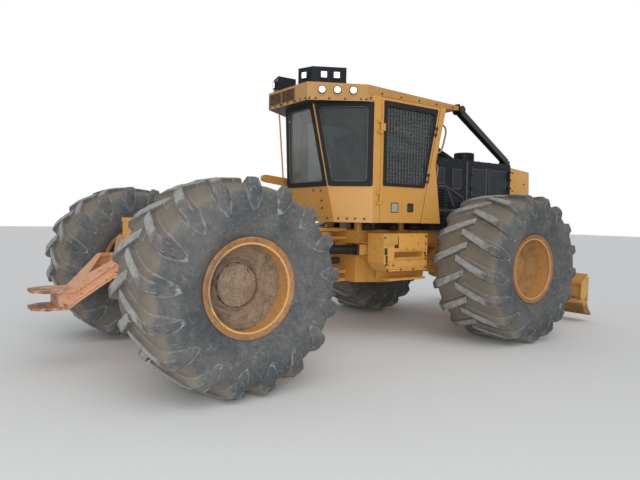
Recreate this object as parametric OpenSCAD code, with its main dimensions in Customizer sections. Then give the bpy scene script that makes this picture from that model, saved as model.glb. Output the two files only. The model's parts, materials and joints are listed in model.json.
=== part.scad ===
// Articulated forestry skidder, cab over the pivot, blade in front, arch behind.
// Millimetres. +X forward, +Y left, +Z up, origin on the ground at mid length.
// Places are written from the articulation pivot, then placed() moves them back.

/* [Wheels] */
// Distance between the two axles
wheelbase = 4060; // [3800:10:4300]
// Middle of the tyre to the middle of the machine
half_track = 1426; // [1380:2:1480]
// Radius over the tips of the lugs
tyre_r = 950; // [900:5:1000]
// Half the width of the tyre
tyre_half_w = 515; // [480:5:530]
// Height of the lugs on the crown
lug_h = 62; // [40:2:80]
// Number of lugs on each side of the tyre
lug_count = 17; // [12:1:20]
// Degrees by which a lug's middle leads its shoulder
lug_lead = 13; // [5:1:30]
// Radius of the rim where the tyre sits
rim_r = 406; // [380:2:420]
// Height of the rim's edge above its seat
rim_lip = 30; // [20:1:40]
// Thickness of the rim's plate
rim_t = 16; // [12:1:24]
// The rim's disc, outward from the middle of the tyre
disc_y = 70; // [40:5:120]

/* [Chassis] */
// Top of both chassis
frame_top = 1400; // [1380:5:1420]
// Half the width of both chassis
frame_half_w = 360; // [330:5:380]
// Thickness of the chassis plates
plate_t = 40; // [25:1:50]
// Underside of the belly
belly_z = 720; // [690:10:760]
// Radius of the axle's middle housing
axle_mid_r = 190; // [170:5:200]
// Radius of the axle's arms
axle_arm_r = 120; // [100:5:130]
// Radius of the hub reduction at the wheel
hub_r = 230; // [200:5:250]
// Radius of the pivot ears
ear_r = 170; // [140:5:190]
// Thickness of the pivot ears
ear_t = 45; // [35:1:55]
// Radius of the pivot pins
hinge_pin_r = 45; // [35:1:55]

/* [Cab] */
// Underside of the cab
cab_z = 1500; // [1480:5:1520]
// Underside of the cab's roof
cab_top = 3035; // [2990:5:3060]
// Half the width of the cab
cab_half_w = 850; // [820:5:860]
// Thickness of the cab's walls
wall_t = 50; // [40:1:60]
// Thickness of the cab's floor
floor_t = 60; // [50:5:80]
// Thickness of the glass
glass_t = 8; // [6:1:12]
// Top of the roof at the back
roof_top = 3160; // [3130:5:3180]
// Fall of the roof's top to its front
roof_fall = 60; // [30:5:80]
// Lower edge of the visor around the back
visor_z0 = 2945; // [2930:5:2960]
// Top of the lamp pods
pod_top = 3350; // [3300:5:3380]

/* [Hood] */
// Back of the engine housing
hood_x0 = 1450; // [1430:5:1480]
// Front of the engine housing, where the front cap begins
hood_x1 = 3240; // [3200:5:3280]
// Front of the front cap
cap_x1 = 3790; // [3740:5:3820]
// Top of the engine housing
hood_top = 2420; // [2380:5:2460]
// Half the width of the engine housing
hood_half_w = 600; // [560:5:640]
// Thickness of the housing's sheet walls
hood_t = 40; // [30:1:50]
// Distance between the slats of the louvres
louvre_pitch = 38; // [25:1:60]

/* [Blade] */
// Half the width of the blade
blade_half_w = 1400; // [1300:10:1450]
// Lower edge of the blade above the ground
blade_z0 = 100; // [60:5:140]
// Upper edge of the blade
blade_z1 = 750; // [700:10:800]
// Front of the blade's cutting edge
blade_x1 = 4300; // [4250:5:4320]

/* [Arch] */
// Tip of the arch behind the pivot
arch_tip_x = -3420; // [-3450:5:-3380]
// Top of the arch's level tip
arch_tip_z = 815; // [800:5:830]
// Top of the arch's legs
arch_top_z = 1120; // [1100:5:1140]
// Depth of the arch's box section
arch_d = 165; // [150:5:180]
// Thickness of the arch's plates
arch_t = 28; // [20:1:36]
// Radius of the hole in the arch's tip
tip_hole_r = 35; // [25:1:45]

/* [Hidden] */

$fn = 48;

// Gap between pieces that sit on each other, and clearance of moving pieces
seat_gap = 0.3;
clear = 8;
pin_r = 25;
rod_eye_r = 50;

// Mid length of the machine, from the pivot
centre_x = (blade_x1 + arch_tip_x) / 2;
axle_x = wheelbase / 2;
axle_z = tyre_r;
right = -1;
left = 1;

// Colours
yellow = [0.88, 0.56, 0.13];
salmon = [0.85, 0.53, 0.38];
slate = [0.16, 0.18, 0.22];
black = [0.07, 0.07, 0.08];
rubber = [0.27, 0.27, 0.26];
glass = [0.25, 0.30, 0.32];
steel = [0.60, 0.60, 0.60];

module placed() { translate([-centre_x, 0, 0]) children(); }

// A side outline in X and Z, as thick as w, from y outward to the left
module side_slab(points, y, w) {
    translate([0, y + w, 0]) rotate([90, 0, 0]) linear_extrude(w) polygon(points);
}

// A cylinder along Y from y0 to y1
module y_bar(x, z, r, y0, y1) {
    translate([x, y1, z]) rotate([90, 0, 0]) cylinder(h = y1 - y0, r = r);
}

// Turns +Z of the children to the line from a to b
module aim(a, b) {
    d = b - a;
    translate(a) rotate([0, acos(d[2] / norm(d)), atan2(d[1], d[0])]) children();
}

// Keeps what is drawn for the left, or turns it over to the right
module on_side(side) { if (side == left) children(); else mirror([0, 1, 0]) children(); }

// Wheels

function wheel_x(front) = front ? axle_x : -axle_x;

// Puts a wheel drawn about Z, outboard up, in its place
module at_wheel(front, side) {
    placed() translate([wheel_x(front), side * half_track, axle_z])
        rotate([side == left ? -90 : 90, 0, 0]) children();
}

rim_half_w = 420;
rim_inner_r = rim_r - rim_t;
hub_cover_r = 190;

module rim(front, side) {
    color(yellow) at_wheel(front, side) difference() {
        rotate_extrude($fn = 64) polygon([
            [hub_cover_r, disc_y], [rim_inner_r - 60, disc_y], [rim_inner_r, disc_y - 60],
            [rim_inner_r, -rim_half_w + rim_t], [rim_inner_r + rim_lip, -rim_half_w],
            [rim_r + rim_lip, -rim_half_w], [rim_r + rim_lip, -rim_half_w + rim_t],
            [rim_r, -rim_half_w + rim_t], [rim_r, rim_half_w - rim_t],
            [rim_r + rim_lip, rim_half_w - rim_t], [rim_r + rim_lip, rim_half_w],
            [rim_inner_r + rim_lip, rim_half_w], [rim_inner_r, rim_half_w - rim_t],
            [rim_inner_r, disc_y - 20], [rim_inner_r - 60, disc_y + 30],
            [hub_cover_r, disc_y + 30], [hub_cover_r, disc_y + 70],
            [hub_cover_r - 30, disc_y + 90], [0, disc_y + 90], [0, disc_y]]);
    }
}

bead_y = rim_half_w - rim_t - seat_gap;
tyre_facets = lug_count;
// The tyre's round is cut in facets, so its seat grows until they clear the rim
tyre_seat_r = (rim_r + seat_gap) / cos(180 / tyre_facets);
bead_r = (rim_r + rim_lip + 4) / cos(180 / tyre_facets);
carcass_r = tyre_r - lug_h;
shoulder_y = tyre_half_w - 80;
sidewall_r = rim_r + 260;
crown_scale = 0.982;
crown_r = tyre_r - 12;
shoulder_r = rim_r + 390;

// A lug's section: degrees from its middle, radius
lug_section = [[-4.2, carcass_r], [-2.9, tyre_r], [2.9, tyre_r], [4.2, carcass_r]];
tread_section = [for (k = [0:lug_count - 1], p = lug_section)
    let (a = k * 360 / lug_count + p[0]) [p[1] * cos(a), p[1] * sin(a)]];

// Outer half of the tread: its lugs wind round from the middle to the shoulder
module tread_half(turn) {
    linear_extrude(tyre_half_w, twist = turn * lug_lead, slices = 1, scale = crown_scale)
        polygon(tread_section);
}

// Degrees by which a tyre is turned about its axle
function tyre_turn(front, side) = side == left ? 7 : front ? 4 : 15;

module tyre(front, side) {
    color(rubber) at_wheel(front, side) rotate([0, 0, tyre_turn(front, side)]) difference() {
        union() {
            tread_half(side);
            rotate([0, 0, 180 / lug_count]) mirror([0, 0, 1]) tread_half(side);
        }
        // Room for the rim, then the fallen shoulders, and sidewalls that fall in to their beads
        cylinder(h = 3 * tyre_half_w, r = tyre_seat_r, center = true, $fn = tyre_facets);
        for (s = [-1, 1]) scale([1, 1, s]) rotate_extrude($fn = tyre_facets) {
            polygon([[0, bead_y], [bead_r, bead_y], [rim_r + 100, bead_y + 75],
                     [sidewall_r, tyre_half_w + 0.5], [0, tyre_half_w + 0.5]]);
            polygon([[tyre_r + 20, shoulder_y], [tyre_r + 20, tyre_half_w + 0.5],
                     [shoulder_r, tyre_half_w + 0.5], [crown_r, shoulder_y]]);
        }
    }
}

// Axles

hub_in = half_track + disc_y - 420;
hub_out = half_track + disc_y - seat_gap;

module axle(front) {
    nose = front ? -1 : 1;
    color(yellow) placed() translate([wheel_x(front), 0, 0]) {
        y_bar(0, axle_z, axle_mid_r, -240, 240);
        y_bar(0, axle_z, axle_arm_r, -hub_in - 10, hub_in + 10);
        y_bar(0, axle_z, hub_r, hub_in, hub_out);
        y_bar(0, axle_z, hub_r, -hub_out, -hub_in);
        translate([0, 0, axle_z]) rotate([0, nose * 90, 0]) cylinder(h = 305, r = 110);
    }
}

// Front chassis

notch_half = 330;
notch_z = axle_z + axle_mid_r + 60;
front_back_x = 330;
front_end_x = 3480;
pad_z = axle_z + axle_mid_r;
upper_ear_z = 1345;
lower_ear_z = 790;

module ear(z, t, r, x_to, w) {
    translate([0, 0, z - t / 2]) linear_extrude(t) {
        circle(r = r);
        translate([min(0, x_to), -w]) square([abs(x_to), 2 * w]);
    }
}

front_side = [
    [front_back_x, frame_top], [front_end_x, frame_top], [front_end_x, 1000],
    [3000, 640], [2560, 640], [axle_x + notch_half, notch_z], [axle_x - notch_half, notch_z],
    [axle_x - notch_half - 120, belly_z], [900, belly_z - 30], [front_back_x, belly_z]];

blade_pin_x = 2760;
blade_pin_z = 700;
blade_pin_r = 36;
blade_arm_y = frame_half_w + 70;
blade_arm_w = 100;
blade_cyl_y = blade_arm_y + 170;
blade_top_pin = [3400, 1330];
blade_rod_pin = [3500, 620];

// Steering cylinders lie in bays between the pivots, front pin and rear pin
rear_half_w = frame_half_w - 40;
steer_front = [500, frame_half_w + 90];
steer_out = frame_half_w + 240;
steer_rear = [-640, rear_half_w - 70];
steer_z = 1150;
bay_half_h = 75;
bay_plate_t = 30;
bay_x1 = 680;
bay_web = 80;
steer_rod_len = 755;

// What a bay takes out of a chassis, on both sides of its middle web
module bay_cut(x0, x1, half_w) {
    for (side = [right, left])
        translate([x0, side == left ? bay_web : -half_w - 10, steer_z - bay_half_h])
            cube([x1 - x0, half_w + 10 - bay_web, 2 * bay_half_h]);
}

// A pin along Y held between two plates, on an arm that stands out sideways
module side_pin(x, z, y0, y1, r) { y_bar(x, z, r, min(y0, y1), max(y0, y1)); }

module front_shell() {
    difference() {
        side_slab(front_side, -frame_half_w, 2 * frame_half_w);
        // Engine bay, open above
        translate([front_back_x + plate_t, -frame_half_w + plate_t, notch_z + plate_t])
            cube([front_end_x - front_back_x - 2 * plate_t, 2 * (frame_half_w - plate_t), 500]);
        // Nose, behind the blade
        translate([axle_x + notch_half + 260, -frame_half_w + plate_t, 640 + plate_t + 60])
            cube([560, 2 * (frame_half_w - plate_t), 460]);
        // Belly under the cab
        translate([bay_x1 + 20, -frame_half_w + plate_t, belly_z + plate_t])
            cube([axle_x - notch_half - bay_x1 - 170, 2 * (frame_half_w - plate_t), 700]);
        bay_cut(front_back_x - 1, bay_x1, frame_half_w);
    }
}

module front_frame() {
    color(yellow) placed() difference() {
        union() {
            front_shell();
            // Axle saddle
            for (side = [right, left])
                translate([axle_x - 160, side * 190 - 50, axle_z + sqrt(pow(axle_mid_r, 2) - 1)])
                    cube([320, 100, notch_z - axle_z - axle_mid_r + 5]);
            // Pivot ears, a pair above and a pair below, and their pins
            for (z = [upper_ear_z, lower_ear_z]) {
                for (s = [-1, 1]) ear(z + s * (ear_t + clear), ear_t, ear_r, front_back_x + 5,
                                      ear_r * 0.95);
                translate([0, 0, z - 90]) cylinder(h = 180, r = hinge_pin_r);
            }
            // Plates above and below the steering cylinders, with their pins
            for (side = [right, left], s = [-1, 1])
                translate([steer_front[0] - 90, side == left ? 300 : -steer_out,
                           steer_z + s * (bay_half_h + bay_plate_t / 2) - bay_plate_t / 2])
                    cube([270, steer_out - 300, bay_plate_t]);
            for (side = [right, left])
                translate([steer_front[0], side * steer_front[1], steer_z - bay_half_h - 5])
                    cylinder(h = 2 * bay_half_h + 10, r = pin_r);
            // Brackets and pins of the blade cylinders
            for (side = [right, left]) on_side(side) {
                translate([3290, frame_half_w - 5, 1290]) cube([60, blade_cyl_y - frame_half_w + 75, 80]);
                for (s = [-1, 1])
                    side_slab([[3290, 1290], [3400, 1270], [3450, 1300], [3450, 1360],
                               [3400, 1390], [3290, 1370]], blade_cyl_y + s * 62 - 12, 24);
                side_pin(blade_top_pin[0], blade_top_pin[1], blade_cyl_y - 70, blade_cyl_y + 70, pin_r);
                // Boss and pin of the blade's arm
                side_pin(blade_pin_x, blade_pin_z, frame_half_w - 5,
                         blade_arm_y - seat_gap, 90);
                side_pin(blade_pin_x, blade_pin_z, frame_half_w - 5,
                         blade_arm_y + blade_arm_w + 20, blade_pin_r);
            }
        }
    }
}

// Step boxes on both sides of the front chassis

step_x0 = 330;
step_x1 = 1090;
step_y = cab_half_w + 50;
step_in = steer_out + seat_gap;
step_z0 = 900;
step_z1 = 1370;

module step_box(side) {
    color(yellow) placed() on_side(side) difference() {
        union() {
            side_slab([[step_x0, step_z1], [step_x1, step_z1], [step_x1, step_z0],
                       [step_x0 + 90, step_z0], [step_x0, step_z0 + 110]],
                      step_in, step_y - step_in);
            translate([step_x1 - 160, frame_half_w + seat_gap, 1270])
                cube([120, step_y - frame_half_w - 100, 80]);
            translate([step_x0 + 120, step_y - 260, 780]) cube([step_x1 - step_x0 - 120, 24, 125]);
            translate([step_x0 + 120, step_y - 260, 780]) cube([step_x1 - step_x0 - 120, 240, 24]);
        }
        for (z = [1000, 1190]) translate([step_x0 + 180, step_y - 190, z])
            cube([step_x1 - step_x0 - 260, 200, 140]);
    }
}

// Hinges of the doors: a knuckle on the door, a pin and two lugs on the wall

hinge_r = 18;
hinge_pin = 8;
hinge_h = 90;

// Draws about the hinge line, with the wall toward -Y, for one knuckle at z
module knuckle(x, y, z, lean) {
    difference() {
        union() {
            translate([x, y, z]) cylinder(h = hinge_h, r = hinge_r);
            translate([lean > 0 ? x : x - 60, y - hinge_r, z]) cube([60, hinge_r, hinge_h]);
        }
        translate([x, y, z - 1]) cylinder(h = hinge_h + 2, r = hinge_pin + seat_gap);
        translate([lean > 0 ? x - 30 : x, y - hinge_r - 1, z - 1])
            cube([30, hinge_r + 1 - hinge_pin - 6, hinge_h + 2]);
    }
}

module hinge_lugs(x, y, z, lean) {
    for (dz = [-32, hinge_h + 2]) {
        translate([x, y, z + dz]) cylinder(h = 30, r = hinge_r);
        translate([lean > 0 ? x - 60 : x, y - hinge_r, z + dz]) cube([60, hinge_r, 30]);
    }
    translate([x, y, z - 20]) cylinder(h = hinge_h + 40, r = hinge_pin);
}

// Cab

// The cab's corner facets run in from the sides, and its back leans outward
corner_slope = 1.05;
cab_side_x = 180;
cab_front_x = 1500;
back_lean = 0.137;
function corner_y(x) = cab_half_w - (cab_side_x - x) * corner_slope;
function back_x(z) = -146 - back_lean * (z - cab_z);

module cab_plan(inset) {
    k = inset * 1.45;
    polygon([
        [-450 + inset, corner_y(-450) - k + inset * corner_slope],
        [cab_side_x + inset * 0.4, cab_half_w - inset],
        [cab_front_x, cab_half_w - inset], [cab_front_x, -cab_half_w + inset],
        [cab_side_x + inset * 0.4, -cab_half_w + inset],
        [-450 + inset, -(corner_y(-450) - k + inset * corner_slope)]]);
}

function cab_side(inset) = [
    [back_x(cab_z) + inset, cab_z], [back_x(cab_top) + inset, cab_top],
    [1440 - inset, cab_top], [1260 - inset, 2270], [1380 - inset, cab_z]];

module cab_block(inset) {
    intersection() {
        translate([0, 0, cab_z]) linear_extrude(cab_top - cab_z) cab_plan(inset);
        side_slab(cab_side(inset), -cab_half_w - 10, 2 * cab_half_w + 20);
    }
}

module cab_skin() { difference() { cab_block(0); cab_block(wall_t); } }

door_x0 = 290;
door_z0 = cab_z + 5;
door_z1 = cab_top - 6;
door_gap = 6;
window_z0 = 1970;
window_z1 = visor_z0 - 15;

// Front edge of a door at height z
function door_front(z) = 1004 + 0.2124 * (z - door_z0);
door_outline = [[door_x0, door_z0], [door_front(door_z0), door_z0],
                [door_front(door_z1), door_z1], [door_x0, door_z1]];

// Window of a door; in leaves a margin inside it
function door_window(in) = [
    [door_x0 + 75 + in, window_z0 + 15 + in], [door_front(window_z0) - 75 - in, window_z0 + 15 + in],
    [door_front(window_z1) - 75 - in, window_z1 - in], [door_x0 + 70 + in, window_z1 - in]];

// Room for a door in the wall and in the floor's edge
module door_room() {
    side_slab([[split_x, cab_z - 10], [door_front(cab_z - 10) + door_gap, cab_z - 10],
               [door_front(cab_top + 10) + door_gap, cab_top + 10], [split_x, cab_top + 10]],
              cab_half_w - wall_t - door_gap, wall_t + 60);
}

wall_z0 = cab_z + floor_t + seat_gap;
split_x = door_x0 - 5;

module cab_floor() {
    color(yellow) placed() {
        difference() {
            intersection() {
                cab_block(0);
                translate([-600, -1000, cab_z]) cube([2200, 2000, floor_t]);
            }
            for (side = [right, left]) on_side(side) door_room();
        }
        // Mounts on the chassis
        for (x = [420, 1180], side = [right, left]) translate([x, side * 300, frame_top + seat_gap])
            cylinder(h = cab_z - frame_top, r = 55);
        // Consoles beside the seat
        for (side = [right, left]) translate([480, side * 420 - 90, cab_z + floor_t - 1])
            cube([500, 180, 560]);
        // Front console
        translate([980, -260, cab_z + floor_t - 1]) cube([150, 520, 620]);
    }
}

// Opening of the rear window, up to the folds at its sides
fold_gap = 30;
module rear_win_cut(grow) {
    rotate([90, 0, 90]) translate([0, 0, -600]) linear_extrude(500) offset(delta = grow)
        polygon([for (q = [[1, window_z0], [1, window_z1], [-1, window_z1], [-1, window_z0]])
            [q[0] * (corner_y(back_x(q[1])) - fold_gap), q[1]]]);
}

// Opening of a corner window, cut square to its facet, its back edge along the fold
corner_turn = atan(corner_slope);
function along_corner(z) = (back_x(z) - cab_side_x) / cos(corner_turn) + 35;
module corner_win_cut(grow) {
    translate([cab_side_x, cab_half_w, 0]) rotate([90, 0, corner_turn])
        translate([0, 0, -120]) linear_extrude(240) offset(delta = grow)
            polygon([[along_corner(window_z0), window_z0], [-45, window_z0],
                     [-45, window_z1], [along_corner(window_z1), window_z1]]);
}

module front_win_cut(grow) {
    translate([1100, -620 - grow, hood_top + 20 - grow])
        cube([400, 1240 + 2 * grow, window_z1 - hood_top - 20 + 2 * grow]);
}

cab_hinge = [door_x0 - 3, cab_half_w + hinge_r];
cab_hinge_z = [1760, 2620];

module cab_rear_wall() {
    color(yellow) placed() {
        for (side = [right, left], z = cab_hinge_z)
            on_side(side) hinge_lugs(cab_hinge[0], cab_hinge[1], z, 1);
        rear_wall_shell();
    }
}

module rear_wall_shell() {
    difference() {
        intersection() {
            cab_skin();
            translate([-600, -1000, wall_z0]) cube([600 + split_x, 2000, cab_top - wall_z0]);
        }
        rear_win_cut(0);
        for (side = [right, left]) on_side(side) corner_win_cut(0);
    }
}

module cab_front_wall() {
    color(yellow) placed() difference() {
        intersection() {
            cab_skin();
            translate([split_x + seat_gap, -1000, wall_z0]) cube([1400, 2000, cab_top - wall_z0]);
        }
        for (side = [right, left]) on_side(side) door_room();
        front_win_cut(0);
    }
}

roof_z0 = cab_top + seat_gap;

roof_half_w = cab_half_w - 10;
roof_back_x = -530;
roof_front_x = 1700;
visor_x = 80;
function roof_z(x) = roof_top - roof_fall * (x - roof_back_x) / (roof_front_x - roof_back_x);

// Plan of the roof: back corner, then where its facet meets the side
roof_corner = [roof_back_x, cab_half_w - 410];
facet = [visor_x, roof_half_w] - roof_corner;
facet_turn = atan2(facet[1], facet[0]);

module roof_plan(x1) {
    polygon([[roof_corner[0], -roof_corner[1]], [visor_x, -roof_half_w], [x1, -roof_half_w],
             [x1, roof_half_w], [visor_x, roof_half_w], roof_corner]);
}

// Where the visor meets the back wall at its top, with the gap between them
visor_in = [back_x(cab_top) - seat_gap,
            corner_y(back_x(cab_top) - seat_gap) + 1.45 * seat_gap];

// Puts what is drawn about Z on the visor's left facet, at a share of its length
module on_facet(share, z) {
    translate([roof_corner[0] + share * facet[0], roof_corner[1] + share * facet[1], z])
        rotate([-90, 0, facet_turn]) children();
}

module cab_roof() {
    color(yellow) placed() {
        intersection() {
            translate([0, 0, roof_z0]) linear_extrude(400) roof_plan(roof_front_x);
            side_slab([[roof_back_x, roof_z0], [roof_back_x, roof_z(roof_back_x)],
                       [roof_front_x, roof_z(roof_front_x)], [roof_front_x, roof_z0 + 5],
                       [1420, roof_z0]], -900, 1800);
        }
        // Visor around the back, hung outside the walls
        difference() {
            translate([0, 0, visor_z0]) linear_extrude(roof_z0 - visor_z0 + 5) roof_plan(150);
            translate([0, 0, -1]) linear_extrude(roof_z0 + 1) polygon([
                [visor_in[0], visor_in[1]], [cab_side_x, cab_half_w + 1.45 * seat_gap],
                [cab_side_x, -cab_half_w - 1.45 * seat_gap], [visor_in[0], -visor_in[1]]]);
        }
        // Lamps of the visor
        for (side = [right, left], share = [0.24, 0.49, 0.75])
            on_side(side) on_facet(share, 3065) translate([0, 0, -5]) cylinder(h = 23, r = 44);
    }
}

module rear_window() {
    color(glass) placed() intersection() {
        difference() { cab_block(20); cab_block(20 + glass_t); }
        rear_win_cut(-seat_gap);
    }
}

module corner_window(side) {
    color(glass) placed() on_side(side) intersection() {
        difference() { cab_block(20); cab_block(20 + glass_t); }
        corner_win_cut(-seat_gap);
    }
}

module front_window() {
    color(glass) placed() intersection() {
        difference() { cab_block(20); cab_block(20 + glass_t); }
        front_win_cut(-seat_gap);
    }
}

module door(side) {
    color(yellow) placed() on_side(side) {
        for (z = cab_hinge_z) knuckle(cab_hinge[0], cab_hinge[1], z, 1);
        difference() {
            side_slab(door_outline, cab_half_w - wall_t, wall_t);
            side_slab(door_window(0), cab_half_w - wall_t - 10, wall_t + 20);
        }
    }
}

module door_glass(side) {
    color(glass) placed() on_side(side)
        side_slab(door_window(seat_gap), cab_half_w - wall_t / 2, glass_t);
}

// Guard of bars in the door's window, outside its glass
guard_t = 8;
guard_pitch = 70;
guard_bar = 10;
module door_guard(side) {
    color(black) placed() on_side(side) intersection() {
        side_slab(door_window(seat_gap), cab_half_w - 4 - guard_t, guard_t);
        union() {
            difference() {
                side_slab(door_window(0), cab_half_w - 20, 40);
                side_slab(door_window(22), cab_half_w - 30, 60);
            }
            for (x = [door_x0 + 75 + guard_pitch:guard_pitch:door_front(window_z1)])
                translate([x, cab_half_w - 20, window_z0])
                    cube([guard_bar, 40, window_z1 - window_z0]);
            for (z = [window_z0 + 15 + guard_pitch:guard_pitch:window_z1])
                translate([door_x0, cab_half_w - 20, z])
                    cube([door_front(window_z1) - door_x0, 40, guard_bar]);
        }
    }
}

module seat() {
    color(black) placed() {
        translate([500, -180, cab_z + floor_t + seat_gap]) cube([360, 360, 260]);
        translate([430, -260, cab_z + floor_t + 260]) cube([520, 520, 140]);
        side_slab([[430, 1900], [560, 1900], [440, 2560], [330, 2560]], -250, 500);
    }
}

// Things on the roof and the cab

pod_back = cab_half_w - 405;
pod_out = cab_half_w - 210;
pod_face = [-100, pod_out] - [-455, pod_back];
lamp_h = 86;

// A square lamp seen along +Z, about its middle
module square_lamp() { translate([-lamp_h / 2, -lamp_h / 2, -5]) cube([lamp_h, lamp_h, 25]); }

module lamp_pod(side) {
    color(slate) placed() on_side(side) {
        difference() {
            translate([0, 0, roof_z(0)]) linear_extrude(pod_top - roof_z(0)) polygon([
                [-520, 230], [-455, pod_back], [-100, pod_out], [-95, pod_out - 80], [-250, 230]]);
            side_slab([[roof_back_x - 50, 3000], [roof_back_x - 50, roof_z(roof_back_x - 50) + seat_gap],
                       [100, roof_z(100) + seat_gap], [100, 3000]], 0, 900);
        }
        // Two lamps on the long face and one on the back face
        for (share = [0.32, 0.70])
            translate([-455 + share * pod_face[0], pod_back + share * pod_face[1], 3252])
                rotate([-90, 0, atan2(pod_face[1], pod_face[0])]) square_lamp();
        translate([-488, (230 + pod_back) / 2, 3252])
            rotate([-90, 0, atan2(pod_back - 230, 65)]) square_lamp();
    }
}

arm_y = cab_half_w - 265;
rod_low = [-195, arm_y - 5, 1990];
rod_top = [-326, arm_y - 76, visor_z0 - 2];
module hose_arm() {
    color(yellow) placed() {
        difference() {
            side_slab([[0, 1960], [0, 2070], [-470, 2115], [-510, 2100], [-520, 2060],
                       [-500, 2030], [-460, 2018]], arm_y, 70);
            translate([-seat_gap, seat_gap, 0]) cab_block(0);
        }
        // Rod from the arm up to the visor
        aim(rod_low, rod_top) cylinder(h = norm(rod_top - rod_low), r = 10);
    }
}

riser_from = [roof_front_x + 55, cab_half_w - 60, 3050];
riser_to = [3160, hood_half_w - 40, hood_top + 40];
module riser(side) {
    d = riser_to - riser_from;
    color(black) placed() on_side(side) {
        translate(riser_from) rotate([0, acos(d[2] / norm(d)), atan2(d[1], d[0])])
            translate([-42, -42, 0]) cube([84, 84, norm(d)]);
        // Bracket with its pin on the roof, and a foot on the housing
        translate([roof_front_x + seat_gap, riser_from[1] - 55, roof_z0 + 10]) cube([38, 100, 85]);
        translate(riser_from + [4, 66, 4]) rotate([90, -65, 0]) cylinder(h = 132, r = 54);
        translate([3080, hood_half_w - 100, hood_top + seat_gap]) cube([150, 90, 60]);
    }
}

// Engine housing

hood_z0 = frame_top + seat_gap;
hdoor_x0 = 2275;
hdoor_x1 = 3180;
hdoor_z0 = 1890;
hdoor_z1 = 2350;

hood_hinge = [hdoor_x1 + 3, hood_half_w + hinge_r];
hood_hinge_z = [hdoor_z0 + 60, hdoor_z1 - 60 - hinge_h];

module hood_shell() {
    color(slate) placed() {
        for (side = [right, left], z = hood_hinge_z)
            on_side(side) hinge_lugs(hood_hinge[0], hood_hinge[1], z, -1);
        hood_box();
    }
}

module hood_box() {
    difference() {
        translate([hood_x0, -hood_half_w, hood_z0])
            cube([hood_x1 - hood_x0, 2 * hood_half_w, hood_top - hood_z0]);
        translate([hood_x0 + hood_t, -hood_half_w + hood_t, hood_z0 - 5])
            cube([hood_x1 - hood_x0 - 2 * hood_t, 2 * (hood_half_w - hood_t),
                  hood_top - hood_t - hood_z0 + 5]);
        for (side = [right, left]) on_side(side) {
            translate([hdoor_x0 - door_gap, hood_half_w - 60, hdoor_z0 - door_gap])
                cube([hdoor_x1 - hdoor_x0 + 2 * door_gap, 120, hdoor_z1 - hdoor_z0 + 2 * door_gap]);
            // Louvre windows: back edge, front edge, bottom, top
            for (w = [[1520, 1720, 2055, 2275], [1890, 2120, 1975, 2275], [1530, 1725, 1705, 1975],
                      [1790, 2100, 1705, 1800], [1550, 1740, 1440, 1620], [1800, 2050, 1440, 1620]])
                louvre_cut(w[0], w[1], w[2], w[3]);
            // Pressed panel edges around the lower rear corner
            for (q = [[[1490, 2030], [1760, 2030]], [[1760, 2030], [2160, 1810]],
                      [[2160, 1810], [2160, 1660]], [[1490, 1668], [2160, 1668]]])
                groove(q[0], q[1]);
        }
    }
}

louvre_d = 24;

// Recess on the left side of the housing, with a row of tilted slats left in it
module louvre_cut(x0, x1, z0, z1) {
    difference() {
        translate([x0, hood_half_w - louvre_d, z0]) cube([x1 - x0, louvre_d + 10, z1 - z0]);
        for (z = [z0 + 20:louvre_pitch:z1 - 12])
            translate([x0 - 5, hood_half_w - louvre_d - 4, z]) rotate([-25, 0, 0])
                cube([x1 - x0 + 10, 60, 6]);
    }
}

// Shallow groove on the left side of the housing from a to b
module groove(a, b) {
    d = b - a;
    translate([a[0], hood_half_w - 6, a[1]]) rotate([0, -atan2(d[1], d[0]), 0])
        translate([0, 0, -5]) cube([norm(d), 20, 10]);
}

module hood_door(side) {
    color(slate) placed() on_side(side) {
        for (z = hood_hinge_z) knuckle(hood_hinge[0], hood_hinge[1], z, -1);
        hood_door_sheet();
    }
}

module hood_door_sheet() {
    difference() {
        translate([hdoor_x0, hood_half_w - hood_t, hdoor_z0])
            cube([hdoor_x1 - hdoor_x0, hood_t, hdoor_z1 - hdoor_z0]);
        for (w = [[50, 360], [460, 855]])
            louvre_cut(hdoor_x0 + w[0], hdoor_x0 + w[1], hdoor_z0 + 30, hdoor_z1 - 50);
    }
}

cap_slant = 60;
module hood_cap() {
    color(yellow) placed() difference() {
        side_slab([[hood_x1 + seat_gap, hood_z0], [cap_x1, hood_z0 + 60], [cap_x1, 2120],
                   [cap_x1 - cap_slant, 2210], [hood_x1 + seat_gap, hood_top - 40]],
                  -hood_half_w, 2 * hood_half_w);
        // Slots of the front grille
        for (z = [hood_z0 + 130:70:2080])
            translate([cap_x1 - 40, -hood_half_w + 110, z]) cube([60, 2 * hood_half_w - 220, 34]);
    }
}

module engine_block() {
    color(black) placed() translate([2100, -300, notch_z + plate_t + seat_gap])
        cube([1050, 600, 940]);
}

module precleaner() {
    color(black) placed() translate([2850, 0, hood_top + seat_gap]) {
        cylinder(h = 60, r = 90);
        translate([0, 0, 59]) cylinder(h = 130, r = 150);
    }
}

// Blade

blade_curve_r = 700;
blade_mid_z = 480;
blade_mid_x = blade_x1 - 180;
function blade_back(z) =
    blade_mid_x - 40 + blade_curve_r - sqrt(pow(blade_curve_r, 2) - pow(z - blade_mid_z, 2));

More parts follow.
